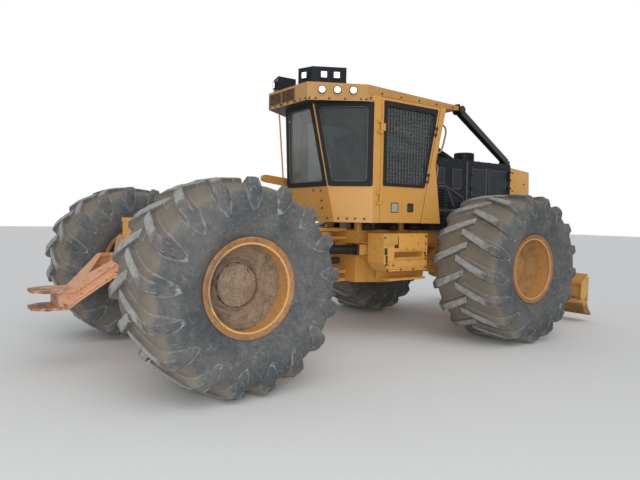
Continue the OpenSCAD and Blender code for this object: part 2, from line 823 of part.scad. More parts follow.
module blade() {
    color(yellow) placed() difference() {
        union() {
            // Curved plate
            intersection() {
                translate([blade_mid_x - 40 + blade_curve_r, 0, blade_mid_z]) rotate([90, 0, 0])
                    translate([0, 0, -blade_half_w]) difference() {
                        cylinder(h = 2 * blade_half_w, r = blade_curve_r, $fn = 96);
                        translate([0, 0, -5])
                            cylinder(h = 2 * blade_half_w + 10, r = blade_curve_r - 40, $fn = 96);
                    }
                translate([blade_mid_x - 100, -blade_half_w, blade_z0 + 25])
                    cube([300, 2 * blade_half_w, blade_z1 - blade_z0 - 25]);
            }
            // Cutting edge along the bottom
            side_slab([[blade_back(220) + 20, 235], [blade_back(220) + 62, 240], [blade_x1, blade_z0 + 14],
                       [blade_x1 - 6, blade_z0], [blade_x1 - 60, blade_z0]],
                      -blade_half_w, 2 * blade_half_w);
            // End plates
            for (side = [right, left])
                side_slab([[blade_mid_x - 20, blade_z0 + 50], [blade_x1 - 70, blade_z0 + 10],
                           [blade_mid_x + 70, blade_z0 + 180], [blade_mid_x + 90, blade_z1 - 60],
                           [blade_mid_x + 20, blade_z1 - 20], [blade_mid_x - 110, blade_z1 - 150],
                           [blade_mid_x - 130, 420]],
                          side == left ? blade_half_w - 20 : -blade_half_w, 20);
            // Ribs and beams on the back
            for (y = [-1000, -700, 700, 1000])
                side_slab([[blade_mid_x - 130, 330], [blade_mid_x - 20, 180], [blade_mid_x - 20, 700],
                           [blade_mid_x - 130, 620]], y - 12, 24);
            for (z = [300, 600]) translate([blade_mid_x - 110, -blade_half_w + 10, z])
                cube([90, 2 * blade_half_w - 20, 60]);
            // Push arms
            for (side = [right, left])
                side_slab([[blade_pin_x - 90, 640], [blade_pin_x - 90, 770], [blade_pin_x + 60, 800],
                           [3450, 680], [blade_mid_x - 25, 620], [blade_mid_x - 25, 380], [3500, 420],
                           [blade_pin_x, 600]],
                          side == left ? blade_arm_y : -blade_arm_y - blade_arm_w, blade_arm_w);
            // Cross tube
            y_bar(3800, 520, 80, -blade_arm_y - 70, blade_arm_y + 70);
            // Brackets that take the rods of the cylinders
            for (side = [right, left]) on_side(side) {
                translate([blade_rod_pin[0] - 70, blade_arm_y + blade_arm_w - 5,
                           blade_rod_pin[1] - rod_eye_r - 50])
                    cube([140, blade_cyl_y - blade_arm_y - blade_arm_w + 74, 40]);
                for (s = [-1, 1]) {
                    translate([blade_rod_pin[0] - 60, blade_cyl_y + s * 57 - 12,
                               blade_rod_pin[1] - rod_eye_r - 20]) cube([120, 24, 110]);
                    y_bar(blade_rod_pin[0], blade_rod_pin[1], 40, blade_cyl_y + s * 57 - 12,
                          blade_cyl_y + s * 57 + 12);
                }
            }
        }
        y_bar(blade_pin_x, blade_pin_z, blade_pin_r + seat_gap, -700, 700);
    }
}

// Cylinders: barrels turn on their pin, rods slide in them

module barrel(len, r, rod_r, eye_w) {
    difference() {
        union() {
            rotate([90, 0, 0]) translate([0, 0, -eye_w / 2]) cylinder(h = eye_w, r = 50);
            translate([-35, -eye_w / 2, 0]) cube([70, eye_w, 90]);
            translate([0, 0, 80]) cylinder(h = len - 80, r = r);
        }
        rotate([90, 0, 0]) translate([0, 0, -eye_w]) cylinder(h = 2 * eye_w, r = pin_r + seat_gap);
        translate([0, 0, 110]) cylinder(h = len, r = rod_r + seat_gap);
    }
}

// Rod with its eye and pin at the origin, drawn toward its barrel
module rod(len, r, eye_w) {
    rotate([90, 0, 0]) translate([0, 0, -eye_w / 2]) cylinder(h = eye_w, r = rod_eye_r);
    translate([0, 0, 30]) cylinder(h = len - 30, r = r);
}

arch_pin = [-2400, 1030];
arch_ear = [-2400, 1260];
arch_barrel_pin = [-1400, 1330];
arch_cyl_y = rear_half_w + 120;

module arch_barrel(side) {
    color(yellow) placed() aim([arch_barrel_pin[0], side * arch_cyl_y, arch_barrel_pin[1]],
        [arch_ear[0], side * arch_cyl_y, arch_ear[1]]) barrel(720, 60, 35, 88);
}

module arch_rod(side) {
    color(steel) placed() aim([arch_ear[0], side * arch_cyl_y, arch_ear[1]],
        [arch_barrel_pin[0], side * arch_cyl_y, arch_barrel_pin[1]]) rod(640, 35, 80);
}

module blade_barrel(side) {
    color(yellow) placed() aim([blade_top_pin[0], side * blade_cyl_y, blade_top_pin[1]],
        [blade_rod_pin[0], side * blade_cyl_y, blade_rod_pin[1]]) barrel(420, 55, 28, 88);
}

module blade_rod(side) {
    color(steel) placed() aim([blade_rod_pin[0], side * blade_cyl_y, blade_rod_pin[1]],
        [blade_top_pin[0], side * blade_cyl_y, blade_top_pin[1]]) rod(380, 28, 80);
}

module steer_barrel(side) {
    color(black) placed() aim([steer_front[0], side * steer_front[1], steer_z],
        [steer_rear[0], side * steer_rear[1], steer_z]) rotate([0, 0, 90]) barrel(720, 60, 32, 2 * bay_half_h - 12);
}

module steer_rod(side) {
    color(steel) placed() aim([steer_rear[0], side * steer_rear[1], steer_z],
        [steer_front[0], side * steer_front[1], steer_z]) rotate([0, 0, 90]) rod(steer_rod_len, 32, 2 * bay_half_h - 12);
}

// Rear chassis

rear_back_x = -2440;
rear_side = [
    [-front_back_x, 1330], [-1100, 1330], [-1100, 1290], [rear_back_x, 1290],
    [rear_back_x, 850], [-2300, 800], [-axle_x - 270, 850], [-axle_x - 240, pad_z + 60],
    [-axle_x + 340, pad_z + 60], [-axle_x + 400, belly_z + 40], [-front_back_x, belly_z + 20]];

module rear_shell() {
    difference() {
        side_slab(rear_side, -rear_half_w, 2 * rear_half_w);
        // Hollow behind the axle, over it and ahead of it
        translate([rear_back_x + plate_t, -rear_half_w + plate_t, pad_z + 100])
            cube([-rear_back_x - plate_t - 800, 2 * (rear_half_w - plate_t), 600]);
        translate([-1580, -rear_half_w + plate_t, belly_z + 80])
            cube([700, 2 * (rear_half_w - plate_t), 700]);
        bay_cut(steer_rear[0] - 190, -front_back_x + 1, rear_half_w);
    }
}

module rear_frame() {
    color(yellow) placed() difference() {
        union() {
            rear_shell();
            // Tower over the axle, with cheeks and a cap
            translate([rear_back_x - 30, -240, 1280]) cube([740, 480, 200]);
            translate([rear_back_x - 40, -240, 1475]) cube([300, 480, 40]);
            for (side = [right, left]) {
                translate([rear_back_x, side * 260 - 50, 1180]) cube([740, 100, 120]);
                side_slab([[rear_back_x, 1285], [rear_back_x, 1400], [rear_back_x + 80, 1460],
                           [rear_back_x + 640, 1460], [rear_back_x + 900, 1285]],
                          side * 270 - 15, 30);
            }
            // Axle saddle
            for (side = [right, left])
                translate([-axle_x - 160, side * 190 - 50, axle_z + sqrt(pow(axle_mid_r, 2) - 1)])
                    cube([320, 100, 70]);
            for (z = [upper_ear_z, lower_ear_z])
                ear(z, ear_t, ear_r - 5, -front_back_x - 5, ear_r * 0.9);
            // Cross plate at the upper ear
            translate([-front_back_x - 100, -rear_half_w, 1300]) cube([100, 2 * rear_half_w, 68]);
            // Pin heads over the steering rods
            for (side = [right, left], s = [-1, 1])
                translate([steer_rear[0], side * steer_rear[1], steer_z + s * (bay_half_h + 15) - 15])
                    cylinder(h = 30, r = 60);
            for (side = [right, left]) on_side(side) {
                // Boss and pin of the arch
                side_pin(arch_pin[0], arch_pin[1], rear_half_w - 5, arch_leg_in - 1 - seat_gap, 90);
                side_pin(arch_pin[0], arch_pin[1], rear_half_w - 5, arch_leg_out + 20, arch_pin_r);
                // Bracket and pin of the arch's cylinder
                translate([arch_barrel_pin[0] - 60, rear_half_w - 5, 1170])
                    cube([120, arch_cyl_y - rear_half_w + 79, 60]);
                for (s = [-1, 1])
                    side_slab([[arch_barrel_pin[0] - 60, 1200], [arch_barrel_pin[0] + 60, 1200],
                               [arch_barrel_pin[0] + 60, 1350], [arch_barrel_pin[0] + 25, 1385],
                               [arch_barrel_pin[0] - 25, 1385], [arch_barrel_pin[0] - 60, 1350]],
                              arch_cyl_y + s * 62 - 12, 24);
                side_pin(arch_barrel_pin[0], arch_barrel_pin[1], arch_cyl_y - 70, arch_cyl_y + 70,
                         pin_r);
            }
        }
        for (z = [upper_ear_z, lower_ear_z]) translate([0, 0, z - 120])
            cylinder(h = 240, r = hinge_pin_r + seat_gap);
    }
}

// Drive shaft between the axles, its joint under the pivot

shaft_z = 980;
shaft_r = 45;
shaft_yoke_r = 75;
shaft_ball_r = 58;

module shaft_front() {
    color(steel) placed() translate([0, 0, shaft_z]) {
        sphere(r = shaft_ball_r);
        rotate([0, 90, 0]) cylinder(h = front_back_x - seat_gap, r = shaft_r);
    }
}

module shaft_rear() {
    color(steel) placed() translate([0, 0, shaft_z]) rotate([0, -90, 0]) {
        translate([0, 0, shaft_ball_r + clear]) cylinder(h = 40, r = shaft_yoke_r);
        translate([0, 0, 100]) cylinder(h = front_back_x - seat_gap - 100, r = shaft_r);
    }
}

// Arch

arch_bend_x = -3040;
arch_slope_x = -2680;
arch_leg_w = 170;
arch_leg_in = rear_half_w + 40;
arch_leg_out = arch_leg_in + arch_leg_w;
arch_pin_r = 40;

// Plan of the arch; grow is negative for its webs
module arch_plan(grow) {
    offset(delta = grow) difference() {
        polygon([
            [arch_tip_x, -110], [arch_tip_x + 120, -215], [arch_bend_x, -215],
            [arch_slope_x, -arch_leg_out + 90], [arch_slope_x + 130, -arch_leg_out + 35],
            [arch_pin[0] + 110, -arch_leg_out], [arch_pin[0] + 110, arch_leg_out],
            [arch_slope_x + 130, arch_leg_out - 35], [arch_slope_x, arch_leg_out - 90],
            [arch_bend_x, 215],
            [arch_tip_x + 120, 215], [arch_tip_x, 110]]);
        polygon([[arch_slope_x - 200, 0], [arch_slope_x, arch_leg_in - 85],
                 [arch_pin[0] - 160, arch_leg_in], [0, arch_leg_in], [0, -arch_leg_in],
                 [arch_pin[0] - 160, -arch_leg_in], [arch_slope_x, -arch_leg_in + 85]]);
    }
}

function arch_line(dz) = [
    [arch_pin[0] + 120, arch_top_z + dz], [arch_slope_x + dz * 0.35, arch_top_z + dz],
    [arch_bend_x + dz * 0.35, arch_tip_z + dz], [arch_tip_x - 10, arch_tip_z + dz]];
function flip(v) = [for (i = [len(v) - 1:-1:0]) v[i]];

module arch_band(top, bottom, grow) {
    intersection() {
        side_slab(concat(arch_line(top), flip(arch_line(bottom))), -700, 1400);
        linear_extrude(2000) arch_plan(grow);
    }
}

module arch() {
    color(salmon) placed() difference() {
        union() {
            arch_band(0, -arch_t, 0);
            arch_band(-arch_d, -arch_d - arch_t, 0);
            difference() {
                arch_band(-arch_t + 1, -arch_d - 1, -28);
                translate([arch_tip_x - 10, -400, 0]) cube([230, 800, 2000]);
            }
            for (side = [right, left]) {
                on_side(side) side_pin(arch_pin[0], arch_pin[1], arch_leg_in, arch_leg_out, 95);
                for (s = [-1, 1])
                    side_slab([[arch_ear[0] - 90, arch_top_z - 10],
                               [arch_ear[0] - 60, arch_ear[1] + 10],
                               [arch_ear[0] - 30, arch_ear[1] + 55],
                               [arch_ear[0] + 30, arch_ear[1] + 55],
                               [arch_ear[0] + 60, arch_ear[1] + 10],
                               [arch_ear[0] + 90, arch_top_z - 10]],
                              side * arch_cyl_y + s * 57 - 10, 20);
            }
        }
        y_bar(arch_pin[0], arch_pin[1], arch_pin_r + seat_gap, -700, 700);
        translate([arch_tip_x + 100, 0, 0]) cylinder(h = 1500, r = tip_hole_r);
    }
}

front_frame();
axle(true);  // front_axle
cab_floor();
cab_rear_wall();
cab_front_wall();
cab_roof();
rear_window();
corner_window(right);  // corner_window_right
corner_window(left);  // corner_window_left
front_window();
door(right);  // door_right
door(left);  // door_left
door_glass(right);  // door_glass_right
door_glass(left);  // door_glass_left
door_guard(right);  // door_guard_right
door_guard(left);  // door_guard_left
seat();
lamp_pod(right);  // lamp_pod_right
lamp_pod(left);  // lamp_pod_left
hose_arm();
step_box(right);  // step_box_right
step_box(left);  // step_box_left
riser(right);  // riser_right
riser(left);  // riser_left
hood_shell();
hood_cap();
hood_door(right);  // hood_door_right
hood_door(left);  // hood_door_left
engine_block();
precleaner();
blade();
blade_barrel(right);  // blade_barrel_right
blade_barrel(left);  // blade_barrel_left
blade_rod(right);  // blade_rod_right
blade_rod(left);  // blade_rod_left
rear_frame();
axle(false);  // rear_axle
shaft_front();
shaft_rear();
arch();
arch_barrel(right);  // arch_barrel_right
arch_barrel(left);  // arch_barrel_left
arch_rod(right);  // arch_rod_right
arch_rod(left);  // arch_rod_left
steer_barrel(right);  // steer_barrel_right
steer_barrel(left);  // steer_barrel_left
steer_rod(right);  // steer_rod_right
steer_rod(left);  // steer_rod_left
rim(true, right);  // rim_front_right
rim(true, left);  // rim_front_left
rim(false, right);  // rim_rear_right
rim(false, left);  // rim_rear_left
tyre(true, right);  // tyre_front_right
tyre(true, left);  // tyre_front_left
tyre(false, right);  // tyre_rear_right
tyre(false, left);  // tyre_rear_left
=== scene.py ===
import json
import math
import bmesh
import bpy
from mathutils import Matrix, Vector

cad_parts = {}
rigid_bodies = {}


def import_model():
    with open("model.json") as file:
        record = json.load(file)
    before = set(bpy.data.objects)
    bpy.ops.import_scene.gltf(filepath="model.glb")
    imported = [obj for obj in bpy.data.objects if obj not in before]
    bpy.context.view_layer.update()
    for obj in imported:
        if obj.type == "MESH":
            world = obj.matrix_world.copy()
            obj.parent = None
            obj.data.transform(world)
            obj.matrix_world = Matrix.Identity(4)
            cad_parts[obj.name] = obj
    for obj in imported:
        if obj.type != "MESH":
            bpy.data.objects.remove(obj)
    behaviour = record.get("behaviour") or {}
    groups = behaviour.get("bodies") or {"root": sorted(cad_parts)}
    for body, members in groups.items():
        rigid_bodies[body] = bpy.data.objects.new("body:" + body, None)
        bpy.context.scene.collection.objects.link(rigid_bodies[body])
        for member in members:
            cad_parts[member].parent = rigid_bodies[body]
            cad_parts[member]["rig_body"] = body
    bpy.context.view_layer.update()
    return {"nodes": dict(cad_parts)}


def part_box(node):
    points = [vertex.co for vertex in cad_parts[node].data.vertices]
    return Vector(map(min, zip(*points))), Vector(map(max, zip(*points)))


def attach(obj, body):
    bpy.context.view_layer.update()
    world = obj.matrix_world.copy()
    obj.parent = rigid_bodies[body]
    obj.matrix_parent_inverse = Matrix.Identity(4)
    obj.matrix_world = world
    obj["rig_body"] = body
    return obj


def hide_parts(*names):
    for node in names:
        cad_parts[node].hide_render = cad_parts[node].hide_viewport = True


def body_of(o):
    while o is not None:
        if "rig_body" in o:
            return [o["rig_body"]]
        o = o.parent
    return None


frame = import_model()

print("frame loaded:", len(frame["nodes"]), "nodes")

# camera as the photo was taken: metres and degrees, from the machine's mid length
photoCamera = {
    "place": (-4.758, -5.946, 1.560),
    "lens": 31.44,
    "sensor": 36,
    "farthest": 200,
    "turn": 36.108,      # from straight left (+Y) toward the front (+X)
    "down": 2.366,
    "roll": 1.054,
}

def makeCamera(s):
    bpy.ops.object.select_all(action="DESELECT")
    bpy.ops.object.camera_add()
    cam = bpy.context.object
    cam.name = "photoCamera"
    cam.data.lens = s["lens"]
    cam.data.sensor_width = s["sensor"]
    cam.data.clip_end = s["farthest"]
    cam.matrix_world = (
        Matrix.Translation(s["place"])
        @ Matrix.Rotation(math.radians(-s["turn"]), 4, "Z")
        @ Matrix.Rotation(math.radians(90 - s["down"]), 4, "X")
        @ Matrix.Rotation(math.radians(s["roll"]), 4, "Z"))
    bpy.context.scene.camera = cam

makeCamera(photoCamera)

# soft studio light, as under an overcast sky
studio = {
    "sky": (0.93, 0.96, 1.0),
    "skyStrength": 0.50,
    "backdrop": (1.0, 1.0, 1.0),
    "sunStrength": 0.70,
    "sunAngle": 55,
    "sunTurn": (38, 10, -25),
    "fillSize": 4,
    "fillPower": 410,
    "fillPlace": (-7.2, -8.9, 2.2),
    "fillAim": (0, 0, 1.2),
    "floorSize": 120,
    "floorColour": (0.80, 0.80, 0.79),
    "floorRough": 0.9,
}

def makeStudio(s):
    bpy.context.scene.view_settings.view_transform = "Standard"
    world = bpy.data.worlds.new("studioSky")
    bpy.context.scene.world = world
    world.use_nodes = True
    tree = world.node_tree
    tree.nodes.clear()
    out = tree.nodes.new("ShaderNodeOutputWorld")
    mix = tree.nodes.new("ShaderNodeMixShader")
    for socket, colour, strength in ((1, s["sky"], s["skyStrength"]), (2, s["backdrop"], 1)):
        part = tree.nodes.new("ShaderNodeBackground")
        part.inputs["Color"].default_value = (*colour, 1)
        part.inputs["Strength"].default_value = strength
        tree.links.new(part.outputs[0], mix.inputs[socket])
    # the camera, mirrors and glass see the white backdrop
    path = tree.nodes.new("ShaderNodeLightPath")
    seen = path.outputs["Is Camera Ray"]
    for ray in ("Is Glossy Ray", "Is Transmission Ray"):
        either = tree.nodes.new("ShaderNodeMath")
        either.operation = "MAXIMUM"
        tree.links.new(seen, either.inputs[0])
        tree.links.new(path.outputs[ray], either.inputs[1])
        seen = either.outputs[0]
    tree.links.new(seen, mix.inputs[0])
    tree.links.new(mix.outputs[0], out.inputs[0])

    bpy.ops.object.light_add(type="SUN", rotation=[math.radians(a) for a in s["sunTurn"]])
    sun = bpy.context.object
    sun.data.energy = s["sunStrength"]
    sun.data.angle = math.radians(s["sunAngle"])
    bpy.ops.object.light_add(type="AREA", location=s["fillPlace"])
    fill = bpy.context.object
    fill.data.size = s["fillSize"]
    fill.data.energy = s["fillPower"]
    fill.rotation_euler = (Vector(s["fillAim"]) - Vector(s["fillPlace"])).to_track_quat("-Z", "Y").to_euler()

    bpy.ops.mesh.primitive_plane_add(size=s["floorSize"])
    floor = bpy.context.object
    floor.name = "studioFloor"
    mat = bpy.data.materials.new("studioFloor")
    mat.use_nodes = True
    shader = mat.node_tree.nodes["Principled BSDF"]
    shader.inputs["Base Color"].default_value = (*s["floorColour"], 1)
    shader.inputs["Roughness"].default_value = s["floorRough"]
    floor.data.materials.append(mat)

makeStudio(studio)
print("camera and studio made")

class Graph:
    # a material's nodes, joined by short calls
    def __init__(self, name):
        self.mat = bpy.data.materials.new(name)
        self.mat.use_nodes = True
        self.tree = self.mat.node_tree
        self.shader = self.tree.nodes["Principled BSDF"]

    def node(self, kind, **settings):
        n = self.tree.nodes.new("ShaderNode" + kind)
        for key, value in settings.items():
            if hasattr(n, key):
                setattr(n, key, value)
            else:
                n.inputs[key].default_value = value
        return n

    def join(self, source, target):
        self.tree.links.new(source, target)

    def coords(self, move=(0, 0, 0), stretch=(1, 1, 1)):
        mapping = self.node("Mapping", Location=move, Scale=stretch)
        self.join(self.node("TexCoord").outputs["Object"], mapping.inputs["Vector"])
        return mapping.outputs[0]

    def noise(self, vector, scale, detail=4, rough=0.55, warp=0):
        n = self.node("TexNoise", Scale=scale, Detail=detail, Roughness=rough, Distortion=warp)
        self.join(vector, n.inputs["Vector"])
        return n.outputs["Fac"]

    def ramp(self, value, low, high, start=0.0, end=1.0):
        ends = {"From Min": low, "From Max": high, "To Min": start, "To Max": end}
        n = self.node("MapRange", clamp=True, **ends)
        self.join(value, n.inputs["Value"])
        return n.outputs[0]

    def math(self, how, a, b=0):
        n = self.node("Math", operation=how)
        for k, v in enumerate((a, b)):
            if isinstance(v, (int, float)):
                n.inputs[k].default_value = v
            else:
                self.join(v, n.inputs[k])
        return n.outputs[0]

    def plus(self, a, b):
        return self.math("ADD", a, b)

    def times(self, a, b):
        return self.math("MULTIPLY", a, b)

    def most(self, a, b):
        return self.math("MAXIMUM", a, b)

    def fromAxle(self, x, z):
        # distance from a wheel's axle
        return self.math("SQRT", self.plus(self.times(x, x), self.times(z, z)))

    def mix(self, factor, a, b):
        n = self.node("Mix", data_type="RGBA")
        for key, v in ((0, factor), (6, a), (7, b)):
            if isinstance(v, tuple):
                n.inputs[key].default_value = (*v, 1)
            elif isinstance(v, (int, float)):
                n.inputs[key].default_value = v
            else:
                self.join(v, n.inputs[key])
        return n.outputs[2]

    def parts(self, vector):
        n = self.node("SeparateXYZ")
        self.join(vector, n.inputs[0])
        return n.outputs

    def upward(self):
        # 1 where a face looks up, 0 where it looks sideways or down
        return self.parts(self.node("NewGeometry").outputs["Normal"])[2]

    def edges(self, radius):
        # 1 along sharp edges
        bevel = self.node("Bevel", samples=3, Radius=radius)
        dot = self.node("VectorMath", operation="DOT_PRODUCT")
        self.join(bevel.outputs[0], dot.inputs[0])
        self.join(self.node("NewGeometry").outputs["Normal"], dot.inputs[1])
        return self.ramp(dot.outputs["Value"], 0.99, 0.86)

    def set(self, socket, value):
        self.shader.inputs[socket].default_value = value

    def colour(self, value):
        self.join(value, self.shader.inputs["Base Color"])

    def rough(self, value, low, high):
        self.join(self.ramp(value, 0, 1, low, high), self.shader.inputs["Roughness"])

    def bump(self, value, strength, distance):
        n = self.node("Bump", Strength=strength, Distance=distance)
        self.join(value, n.inputs["Height"])
        self.join(n.outputs[0], self.shader.inputs["Normal"])

# painted steel: colour, its faded tone, and how much of each kind of wear it shows
# black for the cab's inside lining, and painted shade on the visor's underside and inner faces
blackLiningAndShade = (0.022, 0.022, 0.024)
paints = {
    "bodyYellow": {"colour": (0.62, 0.285, 0.040), "faded": (0.62, 0.325, 0.075), "dirt": 0.5,
                   "chips": 0.64, "rough": (0.34, 0.6), "rust": (0.10, 0.045, 0.02)},
    "cabYellow": {"colour": (0.62, 0.285, 0.040), "faded": (0.62, 0.325, 0.075), "dirt": 0.45,
                  "chips": 0.66, "rough": (0.34, 0.6), "rust": (0.10, 0.045, 0.02),
                  "lining": blackLiningAndShade},
    "chassisYellow": {"colour": (0.76, 0.35, 0.045), "faded": (0.74, 0.38, 0.08), "dirt": 0.45,
                      "chips": 0.60, "rough": (0.45, 0.75), "rust": (0.11, 0.05, 0.025)},
    "bladeYellow": {"colour": (0.76, 0.35, 0.045), "faded": (0.74, 0.38, 0.08), "dirt": 0.5,
                    "chips": 0.585, "rough": (0.45, 0.75), "rust": (0.15, 0.065, 0.028),
                    "rustBelow": 0.46},
    "rimYellow": {"colour": (0.72, 0.34, 0.07), "faded": (0.62, 0.36, 0.15), "dirt": 0.9,
                  "chips": 0.60, "rough": (0.45, 0.75), "rust": (0.12, 0.055, 0.03)},
    # the roof's yellow is darker than the cab's: painted shade on the roof and visor, with its extra dust as
    # dirt
    "roofYellow": {"colour": (0.46, 0.215, 0.040), "faded": (0.48, 0.265, 0.080), "dirt": 0.6,
                   "chips": 0.66, "rough": (0.42, 0.66), "rust": (0.10, 0.045, 0.02),
                   "lining": blackLiningAndShade},
    "archSalmon": {"colour": (0.70, 0.32, 0.16), "faded": (0.66, 0.37, 0.23), "dirt": 0.5,
                   "chips": 0.585, "rough": (0.5, 0.8), "rust": (0.13, 0.055, 0.03),
                   "rustBehind": -3.42},
    "hoodSlate": {"colour": (0.008, 0.010, 0.016), "faded": (0.015, 0.018, 0.026), "dirt": 0.12,
                  "chips": 0.66, "rough": (0.38, 0.62), "rust": (0.10, 0.09, 0.085), "gloss": 0.15},
    "frameBlack": {"colour": (0.006, 0.006, 0.007), "faded": (0.014, 0.014, 0.014), "dirt": 0.14,
                   "chips": 0.66, "rough": (0.35, 0.6), "rust": (0.12, 0.08, 0.06), "gloss": 0.25},
}
# bare rust toward one end: axis, how far it runs, its gain, noise, thresholds and share
rustEnds = {"rustBehind": (0, 0.55, 0.34, 9, (0.62, 0.74), 0.85),
            "rustBelow": (2, 0.30, 0.30, 8, (0.60, 0.72), 0.8)}
dustColour = (0.33, 0.25, 0.17)
waterStain = (0.10, 0.065, 0.035)

# the cab's middle, seen by every lined face, and the span of x and z that is lined
driverPlace = (0.05, 0.0, 2.30)
linedAhead, linedAbove, linedBelow = (0.90, 0.88), (1.500, 1.504), (3.045, 3.041)

def insideCab(g, at):
    # 1 on faces that look in at the driver's place: the cab's black inside lining, and also the visor's
    # underside and inner faces, where the black is painted shade
    toward = g.node("VectorMath", operation="SUBTRACT")
    toward.inputs[0].default_value = driverPlace
    g.join(at, toward.inputs[1])
    dot = g.node("VectorMath", operation="DOT_PRODUCT")
    g.join(toward.outputs[0], dot.inputs[0])
    g.join(g.node("TexCoord").outputs["Normal"], dot.inputs[1])
    x, y, z = g.parts(at)
    looksIn = g.ramp(dot.outputs["Value"], 0.10, 0.14)
    within = g.times(g.ramp(x, *linedAhead), g.ramp(z, *linedAbove))
    within = g.times(within, g.ramp(z, *linedBelow))
    return g.times(looksIn, within)

def paintedSteel(name):
    s = paints[name]
    g = Graph(name)
    at = g.coords()
    blotch = g.noise(at, 1.3, 6, 0.6, 0.4)
    base = g.mix(g.ramp(blotch, 0.35, 0.7), s["colour"], s["faded"])
    # runs of dirty water down the sides
    streak = g.noise(g.coords(stretch=(7, 7, 0.5)), 2.2, 5, 0.65)
    fine = g.noise(at, 38, 5, 0.7)
    base = g.mix(g.times(g.ramp(streak, 0.56, 0.78), 0.35 * s["dirt"]), base, waterStain)
    # dust on what looks up and low on the machine
    up = g.ramp(g.upward(), 0.35, 0.95)
    low = g.ramp(g.parts(at)[2], 1.9, 0.5)
    settled = g.most(g.times(up, 0.55), g.times(low, 0.8))
    dust = g.times(g.times(settled, g.ramp(fine, 0.32, 0.62)), s["dirt"])
    base = g.mix(dust, base, dustColour)
    # chipped edges and spots of rust
    spots = g.ramp(g.noise(at, 17, 8, 0.72, 0.3), s["chips"], s["chips"] + 0.035)
    worn = g.times(g.edges(0.009), g.ramp(g.noise(at, 24, 4, 0.7), 0.42, 0.6))
    chips = g.most(spots, worn)
    base = g.mix(g.times(chips, 0.8), base, s["rust"])
    for key, (axis, run, gain, scale, limits, share) in rustEnds.items():
        if key in s:
            toward = g.ramp(g.parts(at)[axis], s[key], s[key] - run, 0, gain)
            bare = g.plus(toward, g.noise(at, scale, 7, 0.7, 0.4))
            base = g.mix(g.times(g.ramp(bare, *limits), share), base, s["rust"])
    # black inside the cab; on the visor's underside and inner faces this black is painted shade
    if "lining" in s:
        base = g.mix(insideCab(g, at), base, s["lining"])
    g.colour(base)
    g.set("Specular IOR Level", s.get("gloss", 0.5))
    g.rough(g.most(dust, g.ramp(fine, 0.3, 0.7, 0, 0.6)), *s["rough"])
    g.bump(g.math("SUBTRACT", g.times(fine, 0.3), chips), 0.25, 0.0012)
    return g.mat

def wheelCentre(nodeName):
    low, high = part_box(nodeName)
    return [(a + b) / 2 for a, b in zip(low, high)]

# rubber: bluish sidewalls, dusty grooves, pale worn lug tops, and a painted highlight along the lug edges
rubberTones = {
    "side": (0.062, 0.068, 0.072),
    "sideDusty": (0.130, 0.127, 0.120),
    "groove": (0.200, 0.172, 0.138),
    "scuff": (0.270, 0.280, 0.285),
    "scrape": (0.022, 0.024, 0.027),
    "lugTop": (0.42, 0.41, 0.385),
    "lugRadius": (0.902, 0.940),
    "treadHalfWidth": (0.49, 0.44),
    # pale grey of the painted highlight along the lug edges
    "rubbed": (0.36, 0.36, 0.35),
}

def tyreRubber(nodeName):
    s = rubberTones
    g = Graph("rubber_" + nodeName)
    centre = wheelCentre(nodeName)
    at = g.coords(move=[-c for c in centre])
    x, y, z = g.parts(at)
    radius = g.fromAxle(x, z)
    across = g.math("ABSOLUTE", y)
    blotch = g.noise(at, 3.2, 7, 0.65, 0.5)
    fine = g.noise(at, 60, 6, 0.7)
    side = g.mix(g.ramp(blotch, 0.38, 0.66), s["side"], s["sideDusty"])
    # pale scuffs and dark scrapes over the sidewalls
    scuff = g.noise(at, 26, 8, 0.78, 1.2)
    side = g.mix(g.ramp(scuff, 0.54, 0.70, 0, 0.75), side, s["scuff"])
    side = g.mix(g.ramp(scuff, 0.46, 0.32, 0, 0.65), side, s["scrape"])
    onTread = g.ramp(across, *s["treadHalfWidth"])
    inGroove = g.times(onTread, g.ramp(radius, s["lugRadius"][1], s["lugRadius"][0]))
    inGroove = g.times(inGroove, g.ramp(radius, 0.72, 0.84))
    dusty = g.times(inGroove, g.ramp(blotch, 0.25, 0.5, 0.45, 1.0))
    base = g.mix(dusty, side, s["groove"])
    top = g.times(g.ramp(radius, s["lugRadius"][1] - 0.008, s["lugRadius"][1] + 0.006),
                 g.ramp(g.noise(at, 14, 6, 0.7), 0.3, 0.62, 0.35, 1.0))
    base = g.mix(top, base, s["lugTop"])
    # pale lug edges: a painted highlight
    rubbed = g.times(g.edges(0.018), g.ramp(g.noise(at, 19, 6, 0.7), 0.36, 0.60, 0.15, 0.9))
    base = g.mix(rubbed, base, s["rubbed"])
    g.colour(base)
    g.rough(fine, 0.72, 0.95)
    g.bump(g.plus(fine, g.times(blotch, 2)), 0.6, 0.005)
    return g.mat

def windowGlass(name, clear, dusty):
    g = Graph(name)
    at = g.coords()
    film = g.noise(at, 2.5, 5, 0.6, 0.8)
    g.colour(g.mix(g.ramp(film, 0.4, 0.7), clear, dusty))
    g.set("Transmission Weight", 0.86)
    g.set("IOR", 1.45)
    g.set("Specular IOR Level", 0.3)
    g.rough(film, 0.02, 0.10)
    return g.mat

def rodChrome():
    g = Graph("rodChrome")
    at = g.coords()
    grime = g.noise(at, 9, 6, 0.7)
    g.colour(g.mix(g.ramp(grime, 0.45, 0.7), (0.50, 0.50, 0.49), (0.16, 0.14, 0.11)))
    g.set("Metallic", 0.9)
    g.rough(grime, 0.18, 0.55)
    return g.mat

def castIron():
    g = Graph("engineIron")
    at = g.coords()
    grime = g.noise(at, 6, 8, 0.7)
    g.colour(g.mix(grime, (0.030, 0.029, 0.028), (0.09, 0.075, 0.055)))
    g.rough(grime, 0.5, 0.9)
    g.bump(g.noise(at, 90, 5, 0.7), 0.3, 0.002)
    return g.mat

